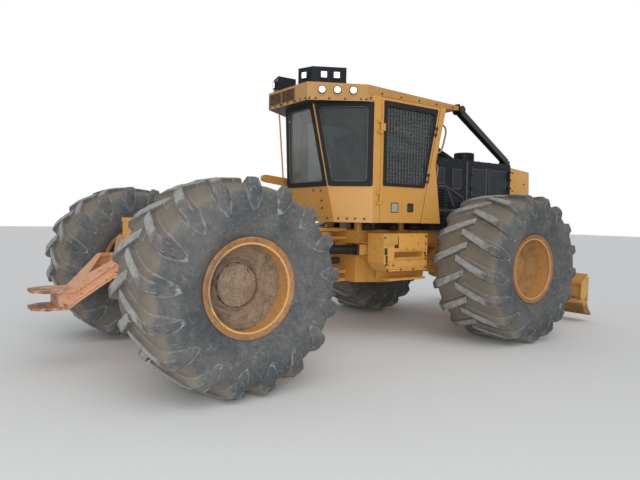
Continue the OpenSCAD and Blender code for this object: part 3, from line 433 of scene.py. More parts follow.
def seatCloth():
    g = Graph("seatCloth")
    at = g.coords()
    wave = g.node("TexWave", wave_type="BANDS", bands_direction="DIAGONAL", Scale=90, Distortion=1.5)
    g.join(at, wave.inputs["Vector"])
    wear = g.noise(at, 5, 6, 0.65)
    g.colour(g.mix(wear, (0.018, 0.018, 0.020), (0.05, 0.048, 0.046)))
    g.rough(wear, 0.75, 0.95)
    g.set("Sheen Weight", 0.25)
    g.bump(wave.outputs["Fac"], 0.3, 0.0012)
    return g.mat

# plain paints, plastics and rubbers: colour, roughness, metal, share of dust
plainTones = {
    "windowGasket": ((0.006, 0.006, 0.007), 0.5, 0.0, 0.03),
    # the bead's pale grey is a painted highlight along the window gasket
    "windowBead": ((0.16, 0.165, 0.165), 0.4, 0.0, 0.2),
    "guardWire": ((0.100, 0.102, 0.104), 0.5, 0.0, 0.10),
    "lampHousing": ((0.035, 0.035, 0.037), 0.45, 0.0, 0.15),
    "boltSteel": ((0.085, 0.060, 0.040), 0.5, 0.5, 0.3),
    "rustPlate": ((0.115, 0.052, 0.022), 0.7, 0.0, 0.35),
    "blankPlate": ((0.36, 0.35, 0.31), 0.5, 0.0, 0.25),
    "darkPlastic": ((0.016, 0.016, 0.018), 0.5, 0.0, 0.12),
    "handleSteel": ((0.30, 0.22, 0.12), 0.45, 0.3, 0.3),
    "hoodStrip": ((0.050, 0.057, 0.074), 0.45, 0.0, 0.12),
    "ductRubber": ((0.011, 0.011, 0.012), 0.6, 0.0, 0.10),
    "hoseRubber": ((0.010, 0.010, 0.011), 0.55, 0.0, 0.12),
    "seatShell": ((0.014, 0.014, 0.015), 0.5, 0.0, 0.10),
}

def plainFinish(name):
    colour, rough, metallic, spread = plainTones[name]
    g = Graph(name)
    at = g.coords()
    grime = g.noise(at, 11, 7, 0.68, 0.3)
    dusty = tuple(c * (1 - spread) + d * spread for c, d in zip(colour, dustColour))
    g.colour(g.mix(g.ramp(grime, 0.42, 0.72), colour, dusty))
    g.set("Metallic", metallic)
    g.set("Specular IOR Level", 0.3)
    g.rough(grime, rough, min(1, rough + 0.3))
    g.bump(g.noise(at, 70, 4, 0.7), 0.2, 0.0008)
    return g.mat

def glowing(name, colour, strength):
    g = Graph(name)
    facets = g.node("TexVoronoi", Scale=60)
    g.join(g.coords(), facets.inputs["Vector"])
    dimmer = tuple(c * 0.86 for c in colour)
    tint = g.mix(g.ramp(facets.outputs["Distance"], 0.0, 0.6), colour, dimmer)
    g.colour(tint)
    g.join(tint, g.shader.inputs["Emission Color"])
    g.set("Emission Strength", strength)
    g.set("Roughness", 0.2)
    return g.mat

def screenMesh(pitch):
    # fine woven wire, dark between its threads
    g = Graph("screenMesh")
    x, y, z = g.parts(g.coords())
    waves = [g.math("ABSOLUTE", g.math("SINE", g.times(axis, math.pi / pitch))) for axis in (x, z)]
    thread = g.most(*[g.ramp(wave, 0.45, 0.25) for wave in waves])
    g.colour(g.mix(thread, (0.004, 0.004, 0.005), (0.022, 0.026, 0.034)))
    g.rough(thread, 0.8, 0.5)
    g.bump(thread, 0.5, 0.002)
    return g.mat

finishes = {name: paintedSteel(name) for name in paints}
finishes["glass"] = windowGlass("tintedGlass", (0.15, 0.19, 0.20), (0.26, 0.28, 0.27))
finishes["rearGlass"] = windowGlass("dustyGlass", (0.60, 0.64, 0.62), (0.74, 0.76, 0.71))
finishes["chrome"] = rodChrome()
finishes["iron"] = castIron()
finishes["cloth"] = seatCloth()
finishes["screen"] = screenMesh(0.009)
finishes["lampLit"] = glowing("lampLit", (1.0, 0.98, 0.90), 1.6)
finishes.update({name: plainFinish(name) for name in plainTones})
for tyreName in [n for n in frame["nodes"] if n.startswith("tyre_")]:
    finishes[tyreName] = tyreRubber(tyreName)

# which finish each CAD node wears, by the start of its name
nodeFinish = [
    ("tyre_", None), ("rim_", "rimYellow"),
    ("arch_rod", "chrome"), ("blade_rod", "chrome"), ("steer_rod", "chrome"),
    ("arch_barrel", "chassisYellow"), ("blade_barrel", "chassisYellow"), ("steer_barrel", "frameBlack"),
    ("blade", "bladeYellow"), ("shaft_", "iron"), ("arch", "archSalmon"),
    ("riser", "frameBlack"), ("precleaner", "frameBlack"),
    ("rear_window", "rearGlass"), ("corner_window", "glass"), ("front_window", "glass"),
    ("door_glass", "glass"), ("door_guard", "frameBlack"),
    ("hood_cap", "bodyYellow"), ("hood", "hoodSlate"), ("lamp_pod", "hoodSlate"),
    ("engine", "iron"), ("seat", "cloth"),
    ("cab_roof", "roofYellow"), ("cab_", "cabYellow"), ("door_", "cabYellow"),
    ("hose_arm", "bodyYellow"), ("", "chassisYellow"),
]

def dressNodes():
    for name, obj in frame["nodes"].items():
        finish = next(f for start, f in nodeFinish if name.startswith(start))
        mat = finishes[finish or name]
        obj.data.materials.clear()
        obj.data.materials.append(mat)

dressNodes()
print("materials on all CAD nodes")


# places in part.scad count from the pivot, which lies behind mid length
pivotX = -0.440

def fromPivot(x, y, z):
    return Vector((x + pivotX, y, z))

def bodyOf(nodeName):
    return body_of(frame["nodes"][nodeName])[0]

def camel(nodeName):
    first, *rest = nodeName.split("_")
    return first + "".join(word.title() for word in rest)

# clean starts and picking faces, edges or vertices by their place

def clearSelection():
    if bpy.context.object and bpy.context.object.mode != "OBJECT":
        bpy.ops.object.mode_set(mode="OBJECT")
    bpy.ops.object.select_all(action="DESELECT")

def activate(obj):
    clearSelection()
    obj.select_set(True)
    bpy.context.view_layer.objects.active = obj

def startEdit(obj):
    activate(obj)
    bpy.ops.object.mode_set(mode="EDIT")

def endEdit():
    bpy.ops.object.mode_set(mode="OBJECT")

def selectAll():
    bpy.ops.mesh.select_all(action="SELECT")

def turned(degrees, axis):
    return Matrix.Rotation(math.radians(degrees), 4, axis)

# takes what was spun round Y to stand round Z
upright = turned(90, "X")

def discard(*spares):
    for spare in spares:
        bpy.data.objects.remove(spare)

def pick(obj, kind, test):
    bpy.ops.mesh.select_mode(type=kind)
    bpy.ops.mesh.select_all(action="DESELECT")
    bm = bmesh.from_edit_mesh(obj.data)
    for item in {"FACE": bm.faces, "EDGE": bm.edges, "VERT": bm.verts}[kind]:
        spot = item.co if kind == "VERT" else sum((v.co for v in item.verts), Vector()) / len(item.verts)
        item.select_set(bool(test(spot, item)))
    bmesh.update_edit_mesh(obj.data)

def settle(obj):
    activate(obj)
    bpy.ops.object.transform_apply(location=True, rotation=True, scale=True)

def startBlock(name, size, place):
    clearSelection()
    bpy.ops.mesh.primitive_cube_add(size=1, location=place)
    obj = bpy.context.object
    obj.name = name
    obj.scale = size
    settle(obj)
    return obj

def finishModifier(obj, kind, **settings):
    activate(obj)
    mod = obj.modifiers.new(kind.lower(), kind)
    for key, value in settings.items():
        setattr(mod, key, value)
    bpy.ops.object.modifier_apply(modifier=mod.name)

def roundEdges(obj, width, segments=2, angle=35):
    finishModifier(obj, "BEVEL", width=width, segments=segments, limit_method="ANGLE",
                   angle_limit=math.radians(angle))

def copyOf(obj, matrix, name):
    activate(obj)
    bpy.ops.object.duplicate()
    copy = bpy.context.object
    copy.name = name
    copy.matrix_world = matrix @ copy.matrix_world
    settle(copy)
    return copy

def joinAll(objs, name):
    clearSelection()
    for o in objs:
        o.select_set(True)
    bpy.context.view_layer.objects.active = objs[0]
    if len(objs) > 1:
        bpy.ops.object.join()
    objs[0].name = name
    return objs[0]

def complete(obj, body, finish, smooth=30):
    settle(obj)
    if smooth:
        bpy.ops.object.shade_smooth_by_angle(angle=math.radians(smooth))
    obj.data.materials.clear()
    obj.data.materials.append(finishes[finish] if isinstance(finish, str) else finish)
    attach(obj, body)
    return obj

def completeAll(parts, name, body, finish, smooth=30):
    return complete(joinAll(parts, name), body, finish, smooth)

def recalc(obj):
    startEdit(obj)
    selectAll()
    bpy.ops.mesh.remove_doubles(threshold=0.00005)
    bpy.ops.mesh.normals_make_consistent(inside=False)
    endEdit()

# a closed ring spun round the Y axis from a list of (across, radius)
def spinRing(name, section, steps):
    clearSelection()
    bpy.ops.mesh.primitive_plane_add(size=0.01)
    obj = bpy.context.object
    obj.name = name
    startEdit(obj)
    bpy.ops.mesh.select_mode(type="VERT")
    selectAll()
    bpy.ops.mesh.merge(type="CENTER")
    selectAll()
    bpy.ops.transform.translate(value=(0, section[0][0], section[0][1]))
    for (y0, r0), (y1, r1) in zip(section, section[1:]):
        bpy.ops.mesh.extrude_region_move(TRANSFORM_OT_translate={"value": (0, y1 - y0, r1 - r0)})
    ends = [Vector((0, *section[0])), Vector((0, *section[-1]))]
    pick(obj, "VERT", lambda p, v: min((p - e).length for e in ends) < 1e-5)
    bpy.ops.mesh.edge_face_add()
    selectAll()
    bpy.ops.mesh.spin(steps=steps, angle=2 * math.pi, center=(0, 0, 0), axis=(0, 1, 0))
    endEdit()
    recalc(obj)
    return obj

# tyres: a moulded carcass with wound lugs that run down the shoulder as buttresses
tyreForm = {
    "section": [(0.4035, 0.4065), (0.4038, 0.434), (0.418, 0.450), (0.452, 0.486), (0.482, 0.532),
                (0.502, 0.588), (0.512, 0.650), (0.510, 0.712), (0.497, 0.770), (0.472, 0.818),
                (0.436, 0.850), (0.380, 0.871), (0.300, 0.882), (0.170, 0.888), (0.0, 0.890)],
    "spinSteps": 102,
    "lugs": 17,
    # across from the middle, radius of the crest, width factor, lead in degrees
    "stations": [(-0.060, 0.944, 0.88, -1.6), (0.050, 0.948, 0.95, 1.4), (0.180, 0.948, 1.02, 4.9),
                 (0.310, 0.943, 1.08, 8.3), (0.400, 0.932, 1.12, 10.6), (0.455, 0.905, 1.06, 11.9),
                 (0.488, 0.858, 0.92, 12.7), (0.503, 0.795, 0.62, 13.0), (0.508, 0.742, 0.30, 13.0)],
    "foot": 0.148, "crest": 0.086, "depth": 0.092,
    # edge radius, how far worn vertices stray, and the radius and width beyond which they do
    "lugEdge": 0.009, "wear": 0.0042, "wornBeyond": (0.88, 0.47),
}
# how far each tyre is turned about its axle, as in the part's source
tyreTurn = {"tyre_front_right": 4, "tyre_rear_right": 15, "tyre_front_left": -7, "tyre_rear_left": -7}

def makeCarcass(s):
    half = s["section"]
    whole = half + [(-y, r) for y, r in reversed(half[:-1])]
    return spinRing("tyreCarcass", whole, s["spinSteps"])

def makeLug(s):
    place = [Matrix.Rotation(math.radians(-lead), 3, "Y") @ Vector((0, y, r - s["depth"] / 2))
             for y, r, w, lead in s["stations"]]
    lug = startBlock("tyreLug", (s["foot"], 0.02, s["depth"]), place[0])
    startEdit(lug)
    pick(lug, "FACE", lambda p, f: f.normal.z > 0.9)      # crest narrower than the foot
    bpy.ops.transform.resize(value=(s["crest"] / s["foot"], 1, 1), center_override=place[0])
    widths = [w for y, r, w, lead in s["stations"]]
    leads = [lead for y, r, w, lead in s["stations"]]
    selectAll()
    bpy.ops.transform.resize(value=(widths[0], 1, 1), center_override=place[0])
    pick(lug, "FACE", lambda p, f: f.normal.y > 0.9)
    for k in range(1, len(place)):
        bpy.ops.mesh.extrude_region_move(TRANSFORM_OT_translate={"value": place[k] - place[k - 1]})
        grow = widths[k] / widths[k - 1]
        bpy.ops.transform.resize(value=(grow, 1, 1), center_override=place[k])
        bpy.ops.transform.rotate(value=math.radians(leads[k] - leads[k - 1]), orient_axis="Y",
                                 center_override=place[k])
    endEdit()
    recalc(lug)
    roundEdges(lug, s["lugEdge"], 2, 40)
    startEdit(lug)
    pick(lug, "FACE", lambda p, f: True)
    bpy.ops.mesh.subdivide(number_cuts=1, smoothness=0)
    endEdit()
    return lug

def makeTyres(s):
    carcass = makeCarcass(s)
    lug = makeLug(s)
    inner = copyOf(lug, Matrix.Scale(-1, 4, (0, 1, 0)), "tyreLugInner")
    recalc(inner)
    pitch = 360 / s["lugs"]
    high, wide = s["wornBeyond"]
    for name, turn in tyreTurn.items():
        side = 1 if name.endswith("left") else -1
        parts = [copyOf(carcass, Matrix.Identity(4), name + "_new")]
        for k in range(s["lugs"]):
            for one, half in ((lug, 1), (inner, -1)):
                shift = 0 if half == side else pitch / 2
                part = copyOf(one, turned(-(k * pitch + turn + shift - 90), "Y"), "lug")
                startEdit(part)
                pick(part, "VERT", lambda p, v: math.hypot(p.x, p.z) > high or abs(p.y) > wide)
                bpy.ops.transform.vertex_random(offset=s["wear"], uniform=0.2, normal=0.6,
                                                seed=k * 7 + half + side + len(name))
                endEdit()
                parts.append(part)
        tyre = joinAll(parts, camel(name) + "Worn")
        tyre.location = wheelCentre(name)
        complete(tyre, bodyOf(name), name, 38)
        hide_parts(name)
    discard(carcass, lug, inner)
    print("tyres: carcasses with", s["lugs"] * 2, "lugs each")

makeTyres(tyreForm)

# blocks, tubes, hoses, bolts and flat rings, shaped the same way wherever they sit
bothSides = ((-1, "Right"), (1, "Left"))

def roundBlock(name, size, place, width, segments=2):
    block = startBlock(name, size, place)
    roundEdges(block, width, segments)
    return block

def startRod(name, a, b, radius, sides, edge, segments=1):
    a, b = Vector(a), Vector(b)
    clearSelection()
    bpy.ops.mesh.primitive_cylinder_add(vertices=sides, radius=radius, depth=(b - a).length,
                                        location=(a + b) / 2,
                                        rotation=(b - a).to_track_quat("Z", "Y").to_euler())
    obj = bpy.context.object
    obj.name = name
    settle(obj)
    roundEdges(obj, edge, segments)
    return obj

def startHose(name, points, radius, steps):
    curve = bpy.data.curves.new(name, "CURVE")
    curve.dimensions = "3D"
    curve.bevel_depth = radius
    curve.bevel_resolution = 3
    curve.resolution_u = steps
    curve.use_fill_caps = True
    spline = curve.splines.new("BEZIER")
    spline.bezier_points.add(len(points) - 1)
    for spot, place in zip(spline.bezier_points, points):
        spot.co = place
        spot.handle_left_type = spot.handle_right_type = "AUTO"
    obj = bpy.data.objects.new(name, curve)
    bpy.context.collection.objects.link(obj)
    activate(obj)
    bpy.ops.object.convert(target="MESH")
    obj = bpy.context.object
    obj.name = name
    recalc(obj)
    return obj

# a matrix that puts +Z along a direction and +Y as near up as it can be
def facing(place, outward, up=(0, 0, 1)):
    z = Vector(outward).normalized()
    up = Vector((1, 0, 0)) if abs(z.dot(Vector(up))) > 0.95 else Vector(up)
    x = up.cross(z).normalized()
    y = z.cross(x)
    return Matrix.Translation(place) @ Matrix((x, y, z)).transposed().to_4x4()

boltForm = {"radius": 0.011, "height": 0.009, "lift": 0.002, "bevel": 0.2, "bevelRise": 0.0012,
            "washer": 0.016, "washerThick": 0.004, "washerLift": 0.001}

def makeBolt(s, size):
    clearSelection()
    bpy.ops.mesh.primitive_cylinder_add(vertices=6, radius=s["radius"] * size, depth=s["height"] * size,
                                        location=(0, 0, s["height"] * size / 2 + s["lift"]))
    head = bpy.context.object
    settle(head)
    startEdit(head)
    pick(head, "FACE", lambda p, f: f.normal.z > 0.9)
    bpy.ops.mesh.inset(thickness=s["radius"] * size * s["bevel"], depth=s["bevelRise"] * size)
    endEdit()
    clearSelection()
    bpy.ops.mesh.primitive_cylinder_add(vertices=14, radius=s["washer"] * size, depth=s["washerThick"],
                                        location=(0, 0, s["washerLift"]))
    washer = bpy.context.object
    settle(washer)
    return joinAll([head, washer], "bolt")

def boltsAt(name, spots, size):
    # spots are pairs of place and outward direction
    bolt = makeBolt(boltForm, size)
    copies = [copyOf(bolt, facing(p, n), "boltCopy") for p, n in spots]
    discard(bolt)
    return joinAll(copies, name)

def completeBolts(name, spots, size, body):
    complete(boltsAt(name, spots, size), body, "boltSteel")

def sideSpots(side, y, places):
    return [(fromPivot(x, side * y, z), (0, side, 0)) for x, z in places]

def flat(side, y, rect):
    # corners of a rectangle on the machine's side: x from, to, z from, to
    x0, x1, z0, z1 = rect
    return [fromPivot(x, side * y, z) for x, z in ((x0, z0), (x1, z0), (x1, z1), (x0, z1))]

def spaced(a, b, count):
    a, b = Vector(a), Vector(b)
    return [a.lerp(b, k / (count - 1)) for k in range(count)]

# a flat panel through four corners, its corners rounded
def startOutline(name, corners, radius):
    clearSelection()
    bpy.ops.mesh.primitive_plane_add(size=1)
    obj = bpy.context.object
    obj.name = name
    for vertex, corner in zip(obj.data.vertices, (corners[0], corners[1], corners[3], corners[2])):
        vertex.co = corner
    if radius:
        startEdit(obj)
        bpy.ops.mesh.select_mode(type="VERT")
        selectAll()
        bpy.ops.mesh.bevel(offset=radius, offset_type="OFFSET", segments=5, affect="VERTICES")
        endEdit()
    return obj

def grown(corners, margins):
    # moves each side outward; one margin for all or one for each side, side k from corner k to k + 1
    if isinstance(margins, (int, float)):
        margins = [margins] * 4
    corners = [Vector(c) for c in corners]
    normal = (corners[1] - corners[0]).cross(corners[2] - corners[1]).normalized()
    moved = []
    for k in range(4):
        before = (corners[k] - corners[k - 1]).normalized()
        after = (corners[(k + 1) % 4] - corners[k]).normalized()
        spread = before.cross(after).dot(normal)
        moved.append(corners[k] + (before * margins[k] - after * margins[k - 1]) / spread)
    return moved

def thicken(obj, thick, outward, edge):
    if obj.data.polygons[0].normal.dot(Vector(outward)) < 0:
        startEdit(obj)
        selectAll()
        bpy.ops.mesh.flip_normals()
        endEdit()
    finishModifier(obj, "SOLIDIFY", thickness=thick, offset=1)
    recalc(obj)
    if edge:
        roundEdges(obj, edge, 1, 50)
    return obj

def ringBetween(name, outer, inner, radii, thick, outward, edge=0.002):
    loops = []
    for corners, radius in ((outer, radii[0]), (inner, radii[1])):
        loop = startOutline(name, corners, radius)
        startEdit(loop)
        selectAll()
        bpy.ops.mesh.delete(type="ONLY_FACE")
        endEdit()
        loops.append(loop)
    ring = joinAll(loops, name)
    startEdit(ring)
    bpy.ops.mesh.select_mode(type="EDGE")
    selectAll()
    bpy.ops.mesh.bridge_edge_loops()
    selectAll()
    bpy.ops.mesh.normals_make_consistent(inside=False)
    endEdit()
    return thicken(ring, thick, outward, edge)

def panelOf(name, corners, radius, thick, outward, edge=0.002):
    return thicken(startOutline(name, corners, radius), thick, outward, edge)

def completeFlats(rows, side, label, y, body):
    # plates on the machine's side, or rings where a row has an inner rectangle
    for name, rect, inner, radii, thick, edge, finish, slotName in rows:
        form = (radii, thick, (0, side, 0), edge)
        outer = flat(side, y, rect)
        piece = (ringBetween(name + label, outer, flat(side, y, inner), *form) if inner
                 else panelOf(name + label, outer, *form))
        complete(piece, body, finish)

# rims: a lock ring in each, dried mud packed into the dish
rimForm = {
    "lockRing": [(0.398, 0.3895), (0.398, 0.374), (0.404, 0.368), (0.412, 0.371), (0.414, 0.3895)],
    "mud": [(0.120, 0.0), (0.1655, 0.0), (0.170, 0.105), (0.167, 0.182), (0.150, 0.205), (0.112, 0.232),
            (0.094, 0.285), (0.100, 0.335), (0.138, 0.366), (0.205, 0.387), (0.240, 0.3908), (0.10, 0.3908)],
    "spinSteps": 72, "mudLumps": 0.0045,
}
mudTones = {"damp": (0.165, 0.108, 0.070), "dry": (0.330, 0.235, 0.165), "smear": (0.46, 0.34, 0.24),
            "crack": (0.045, 0.028, 0.019), "flange": (0.25, 0.120, 0.055)}

# mud on the rims' barrels: the front ones are the cleaner
rimMud = {
    "front": {"mudDepth": 0.10, "mudBehind": 0.12, "damp": (0.30, 0.155, 0.050), "dry": (0.46, 0.26, 0.085)},
    "rear": {"mudDepth": 0.30, "mudBehind": 0.42},
}

def rimTones(nodeName):
    return {**mudTones, **paints["rimYellow"], **rimMud["front" if "front" in nodeName else "rear"]}

def driedMud(nodeName):
    s = rimTones(nodeName)
    g = Graph("mud_" + nodeName)
    at = g.coords(move=[-c for c in wheelCentre(nodeName)])
    x, y, z = g.parts(at)
    radius = g.fromAxle(x, z)
    blotch = g.noise(at, 7, 7, 0.65, 0.6)
    cracks = g.node("TexVoronoi", feature="DISTANCE_TO_EDGE", Scale=17)
    g.join(at, cracks.inputs["Vector"])
    split = g.times(g.ramp(cracks.outputs["Distance"], 0.05, 0.012),
                   g.ramp(g.noise(at, 6, 4, 0.6), 0.52, 0.62))
    # a dark ring where the hub's cover shows through
    ring = g.times(g.ramp(g.math("ABSOLUTE", g.math("SUBTRACT", radius, 0.196)), 0.010, 0.003),
                  g.ramp(g.noise(at, 16, 5, 0.7), 0.42, 0.55))
    # smears that run round the dish
    smear = g.ramp(g.math("SINE", g.plus(g.times(radius, 190), g.times(blotch, 34))), 0.1, 1.0)
    base = g.mix(g.ramp(blotch, 0.34, 0.62), s["damp"], s["dry"])
    base = g.mix(g.times(smear, 0.28), base, s["smear"])
    base = g.mix(g.most(g.times(split, 0.55), ring), base, s["crack"])
    g.colour(base)
    g.rough(blotch, 0.75, 0.95)
    g.bump(g.math("SUBTRACT", g.times(blotch, 0.8), g.most(split, ring)), 0.7, 0.006)
    return g.mat

def rimPaint(nodeName):
    s = rimTones(nodeName)
    g = Graph("paint_" + nodeName)
    at = g.coords(move=[-c for c in wheelCentre(nodeName)])
    x, y, z = g.parts(at)
    outboard = g.times(y, 1 if nodeName.endswith("left") else -1)
    radius = g.fromAxle(x, z)
    blotch = g.noise(at, 4.5, 7, 0.68, 0.5)
    fine = g.noise(at, 34, 6, 0.72)
    base = g.mix(g.ramp(blotch, 0.35, 0.65), s["colour"], s["faded"])
    # mud smeared up the barrel from the dish, thicker behind than ahead
    deep = g.ramp(outboard, 0.36, 0.10, -0.30, s["mudDepth"])
    behind = g.ramp(x, 0.30, -0.34, -0.30, s["mudBehind"])
    smear = g.plus(g.plus(deep, behind), blotch)
    muddy = g.times(g.ramp(smear, 0.42, 0.62), g.ramp(radius, 0.398, 0.392))
    base = g.mix(muddy, base, s["dry"])
    # the flange wears to brown, most at its edges
    flange = g.times(g.ramp(radius, 0.386, 0.398), g.ramp(g.noise(at, 13, 6, 0.7), 0.36, 0.62, 0.60, 1.0))
    base = g.mix(flange, base, s["flange"])
    rust = g.most(g.ramp(fine, 0.58, 0.64),
                  g.times(g.edges(0.010), g.ramp(blotch, 0.34, 0.52)))
    base = g.mix(g.times(rust, 0.8), base, s["rust"])
    g.colour(base)
    g.rough(fine, 0.45, 0.85)
    g.bump(g.plus(fine, g.times(muddy, 1.5)), 0.35, 0.003)
    return g.mat

def makeRims(s):
    ring = spinRing("lockRing", s["lockRing"], s["spinSteps"])
    mud = spinRing("mudCake", s["mud"], s["spinSteps"])
    startEdit(mud)
    pick(mud, "VERT", lambda p, v: p.y > 0.09 and math.hypot(p.x, p.z) > 0.05)
    bpy.ops.transform.vertex_random(offset=s["mudLumps"], uniform=0.0, normal=0.8, seed=5)
    endEdit()
    for name in [n for n in frame["nodes"] if n.startswith("rim_")]:
        paint = rimPaint(name)
        frame["nodes"][name].data.materials[0] = paint
        side = 1 if name.endswith("left") else -1
        centre = wheelCentre(name)
        for part, label, finish, lead in ((ring, "LockRing", paint, 0), (mud, "Mud", driedMud(name), 40)):
            flip = Matrix.Scale(side, 4, (0, 1, 0)) @ turned(lead + 70 * side, "Y")
            copy = copyOf(part, Matrix.Translation(centre) @ flip, camel(name) + label)
            recalc(copy)
            complete(copy, bodyOf(name), finish, 40)
    discard(ring, mud)
    print("rims: lock rings and mud")

makeRims(rimForm)

# black window frames with a pale bead whose grey is a painted highlight along the gasket, wire guards in the
# doors
windowForm = {
    "frameIn": 0.032, "frameRadii": (0.022, 0.050), "frameThick": 0.016, "frameEdge": 0.003,
    "beadWidth": 0.005, "beadRadii": (0.049, 0.043), "beadThick": 0.008, "beadLift": 0.003,
    "rear": {"low": (-0.210, 0.410, 1.970), "high": (-0.342, 0.272, 2.930),
             "margins": (0.030, 0.022, 0.030, 0.022)},
    # the corner pane runs along the facet: start, direction in plan, shares in metres
    "facetStart": (0.180, 0.850), "facetAlong": (-0.6896, -0.7241),
    "corner": {"low": (0.045, 0.531, 1.970), "high": (0.045, 0.722, 2.930),
               "margins": (0.030, 0.018, 0.030, 0.038)},
    "door": [(0.365, 1.985), (1.028, 1.985), (1.232, 2.930), (0.360, 2.930)],
    "doorY": 0.850, "doorMargins": (0.030, 0.034, 0.062, 0.030), "doorIn": 0.008,
    "doorRadii": (0.020, 0.014), "doorThick": 0.014,
}
guardForm = {"pitch": 0.0500, "wire": 0.0120, "face": 0.841}

def frameWindow(name, corners, margins, outward, body):
    s = windowForm
    ring = ringBetween(name + "Frame", grown(corners, margins), grown(corners, -s["frameIn"]),
                       s["frameRadii"], s["frameThick"], outward, s["frameEdge"])
    complete(ring, body, "windowGasket")
    # a raised pale bead inside the frame: its grey is a painted highlight along the gasket
    lift = Vector(outward).normalized() * s["beadLift"]
    loops = [[c + lift for c in grown(corners, more - s["frameIn"])] for more in (0.001, -s["beadWidth"])]
    highlightBead = ringBetween(name + "Bead", *loops, s["beadRadii"], s["beadThick"], outward, 0)
    complete(highlightBead, body, "windowBead")

def planeNormal(corners, outward):
    c = [Vector(p) for p in corners]
    n = (c[1] - c[0]).cross(c[2] - c[1]).normalized()
    return n if n.dot(Vector(outward)) > 0 else -n

def facetSpot(along, z, side):
    # a place on the cab's rear facet
    (x, y), (dx, dy) = windowForm["facetStart"], windowForm["facetAlong"]
    return fromPivot(x + along * dx, (y + along * dy) * side, z)

def makeWindows(s):
    shell = bodyOf("cab_rear_wall")
    (xl, yl, zl), (xh, yh, zh) = s["rear"]["low"], s["rear"]["high"]
    pane = [fromPivot(*c) for c in ((xl, -yl, zl), (xl, yl, zl), (xh, yh, zh), (xh, -yh, zh))]
    frameWindow("rearWindow", pane, s["rear"]["margins"], planeNormal(pane, (-1, 0, 0)), shell)
    (a0, a1, zl), (b0, b1, zh) = s["corner"]["low"], s["corner"]["high"]
    for side, label in bothSides:
        pane = [facetSpot(a, z, side) for a, z in ((a0, zl), (a1, zl), (b1, zh), (b0, zh))]
        frameWindow("cornerWindow" + label, pane, s["corner"]["margins"],
                    planeNormal(pane, (-0.7, side * 0.7, 0)), shell)
        door = [fromPivot(x, side * s["doorY"], z) for x, z in s["door"]]
        ring = ringBetween("doorFrame" + label, grown(door, s["doorMargins"]), grown(door, -s["doorIn"]),
                           s["doorRadii"], s["doorThick"], (0, side, 0), s["frameEdge"])
        complete(ring, bodyOf("door_" + label.lower()), "windowGasket")
    print("windows framed")

def makeGuards(s, door):
    xs, zs = zip(*door)
    width, height = max(xs) - min(xs), max(zs) - min(zs)
    clearSelection()
    bpy.ops.mesh.primitive_grid_add(x_subdivisions=round(width / s["pitch"]),
                                    y_subdivisions=round(height / s["pitch"]), size=1,
                                    rotation=(math.radians(90), 0, 0))
    grid = bpy.context.object
    grid.name = "guardGrid"
    grid.dimensions = (width, height, 0)
    grid.location = fromPivot((max(xs) + min(xs)) / 2, 0, (max(zs) + min(zs)) / 2)
    settle(grid)
    startEdit(grid)
    for a, b in ((1, 2), (3, 0)):
        (xa, za), (xb, zb) = door[a], door[b]
        selectAll()
        bpy.ops.mesh.bisect(plane_co=fromPivot(xa, 0, za), plane_no=(zb - za, 0, xa - xb), clear_outer=True)
    endEdit()
    finishModifier(grid, "WIREFRAME", thickness=s["wire"], use_even_offset=False)
    recalc(grid)
    for side, label in bothSides:
        node = "door_guard_" + label.lower()
        guard = copyOf(grid, Matrix.Translation((0, side * s["face"], 0)), "doorGuard" + label)
        complete(guard, bodyOf(node), "guardWire", 0)
        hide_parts(node)
    discard(grid)
    print("door guards: wire grids of", len(guard.data.polygons), "faces")

makeWindows(windowForm)
makeGuards(guardForm, windowForm["door"])

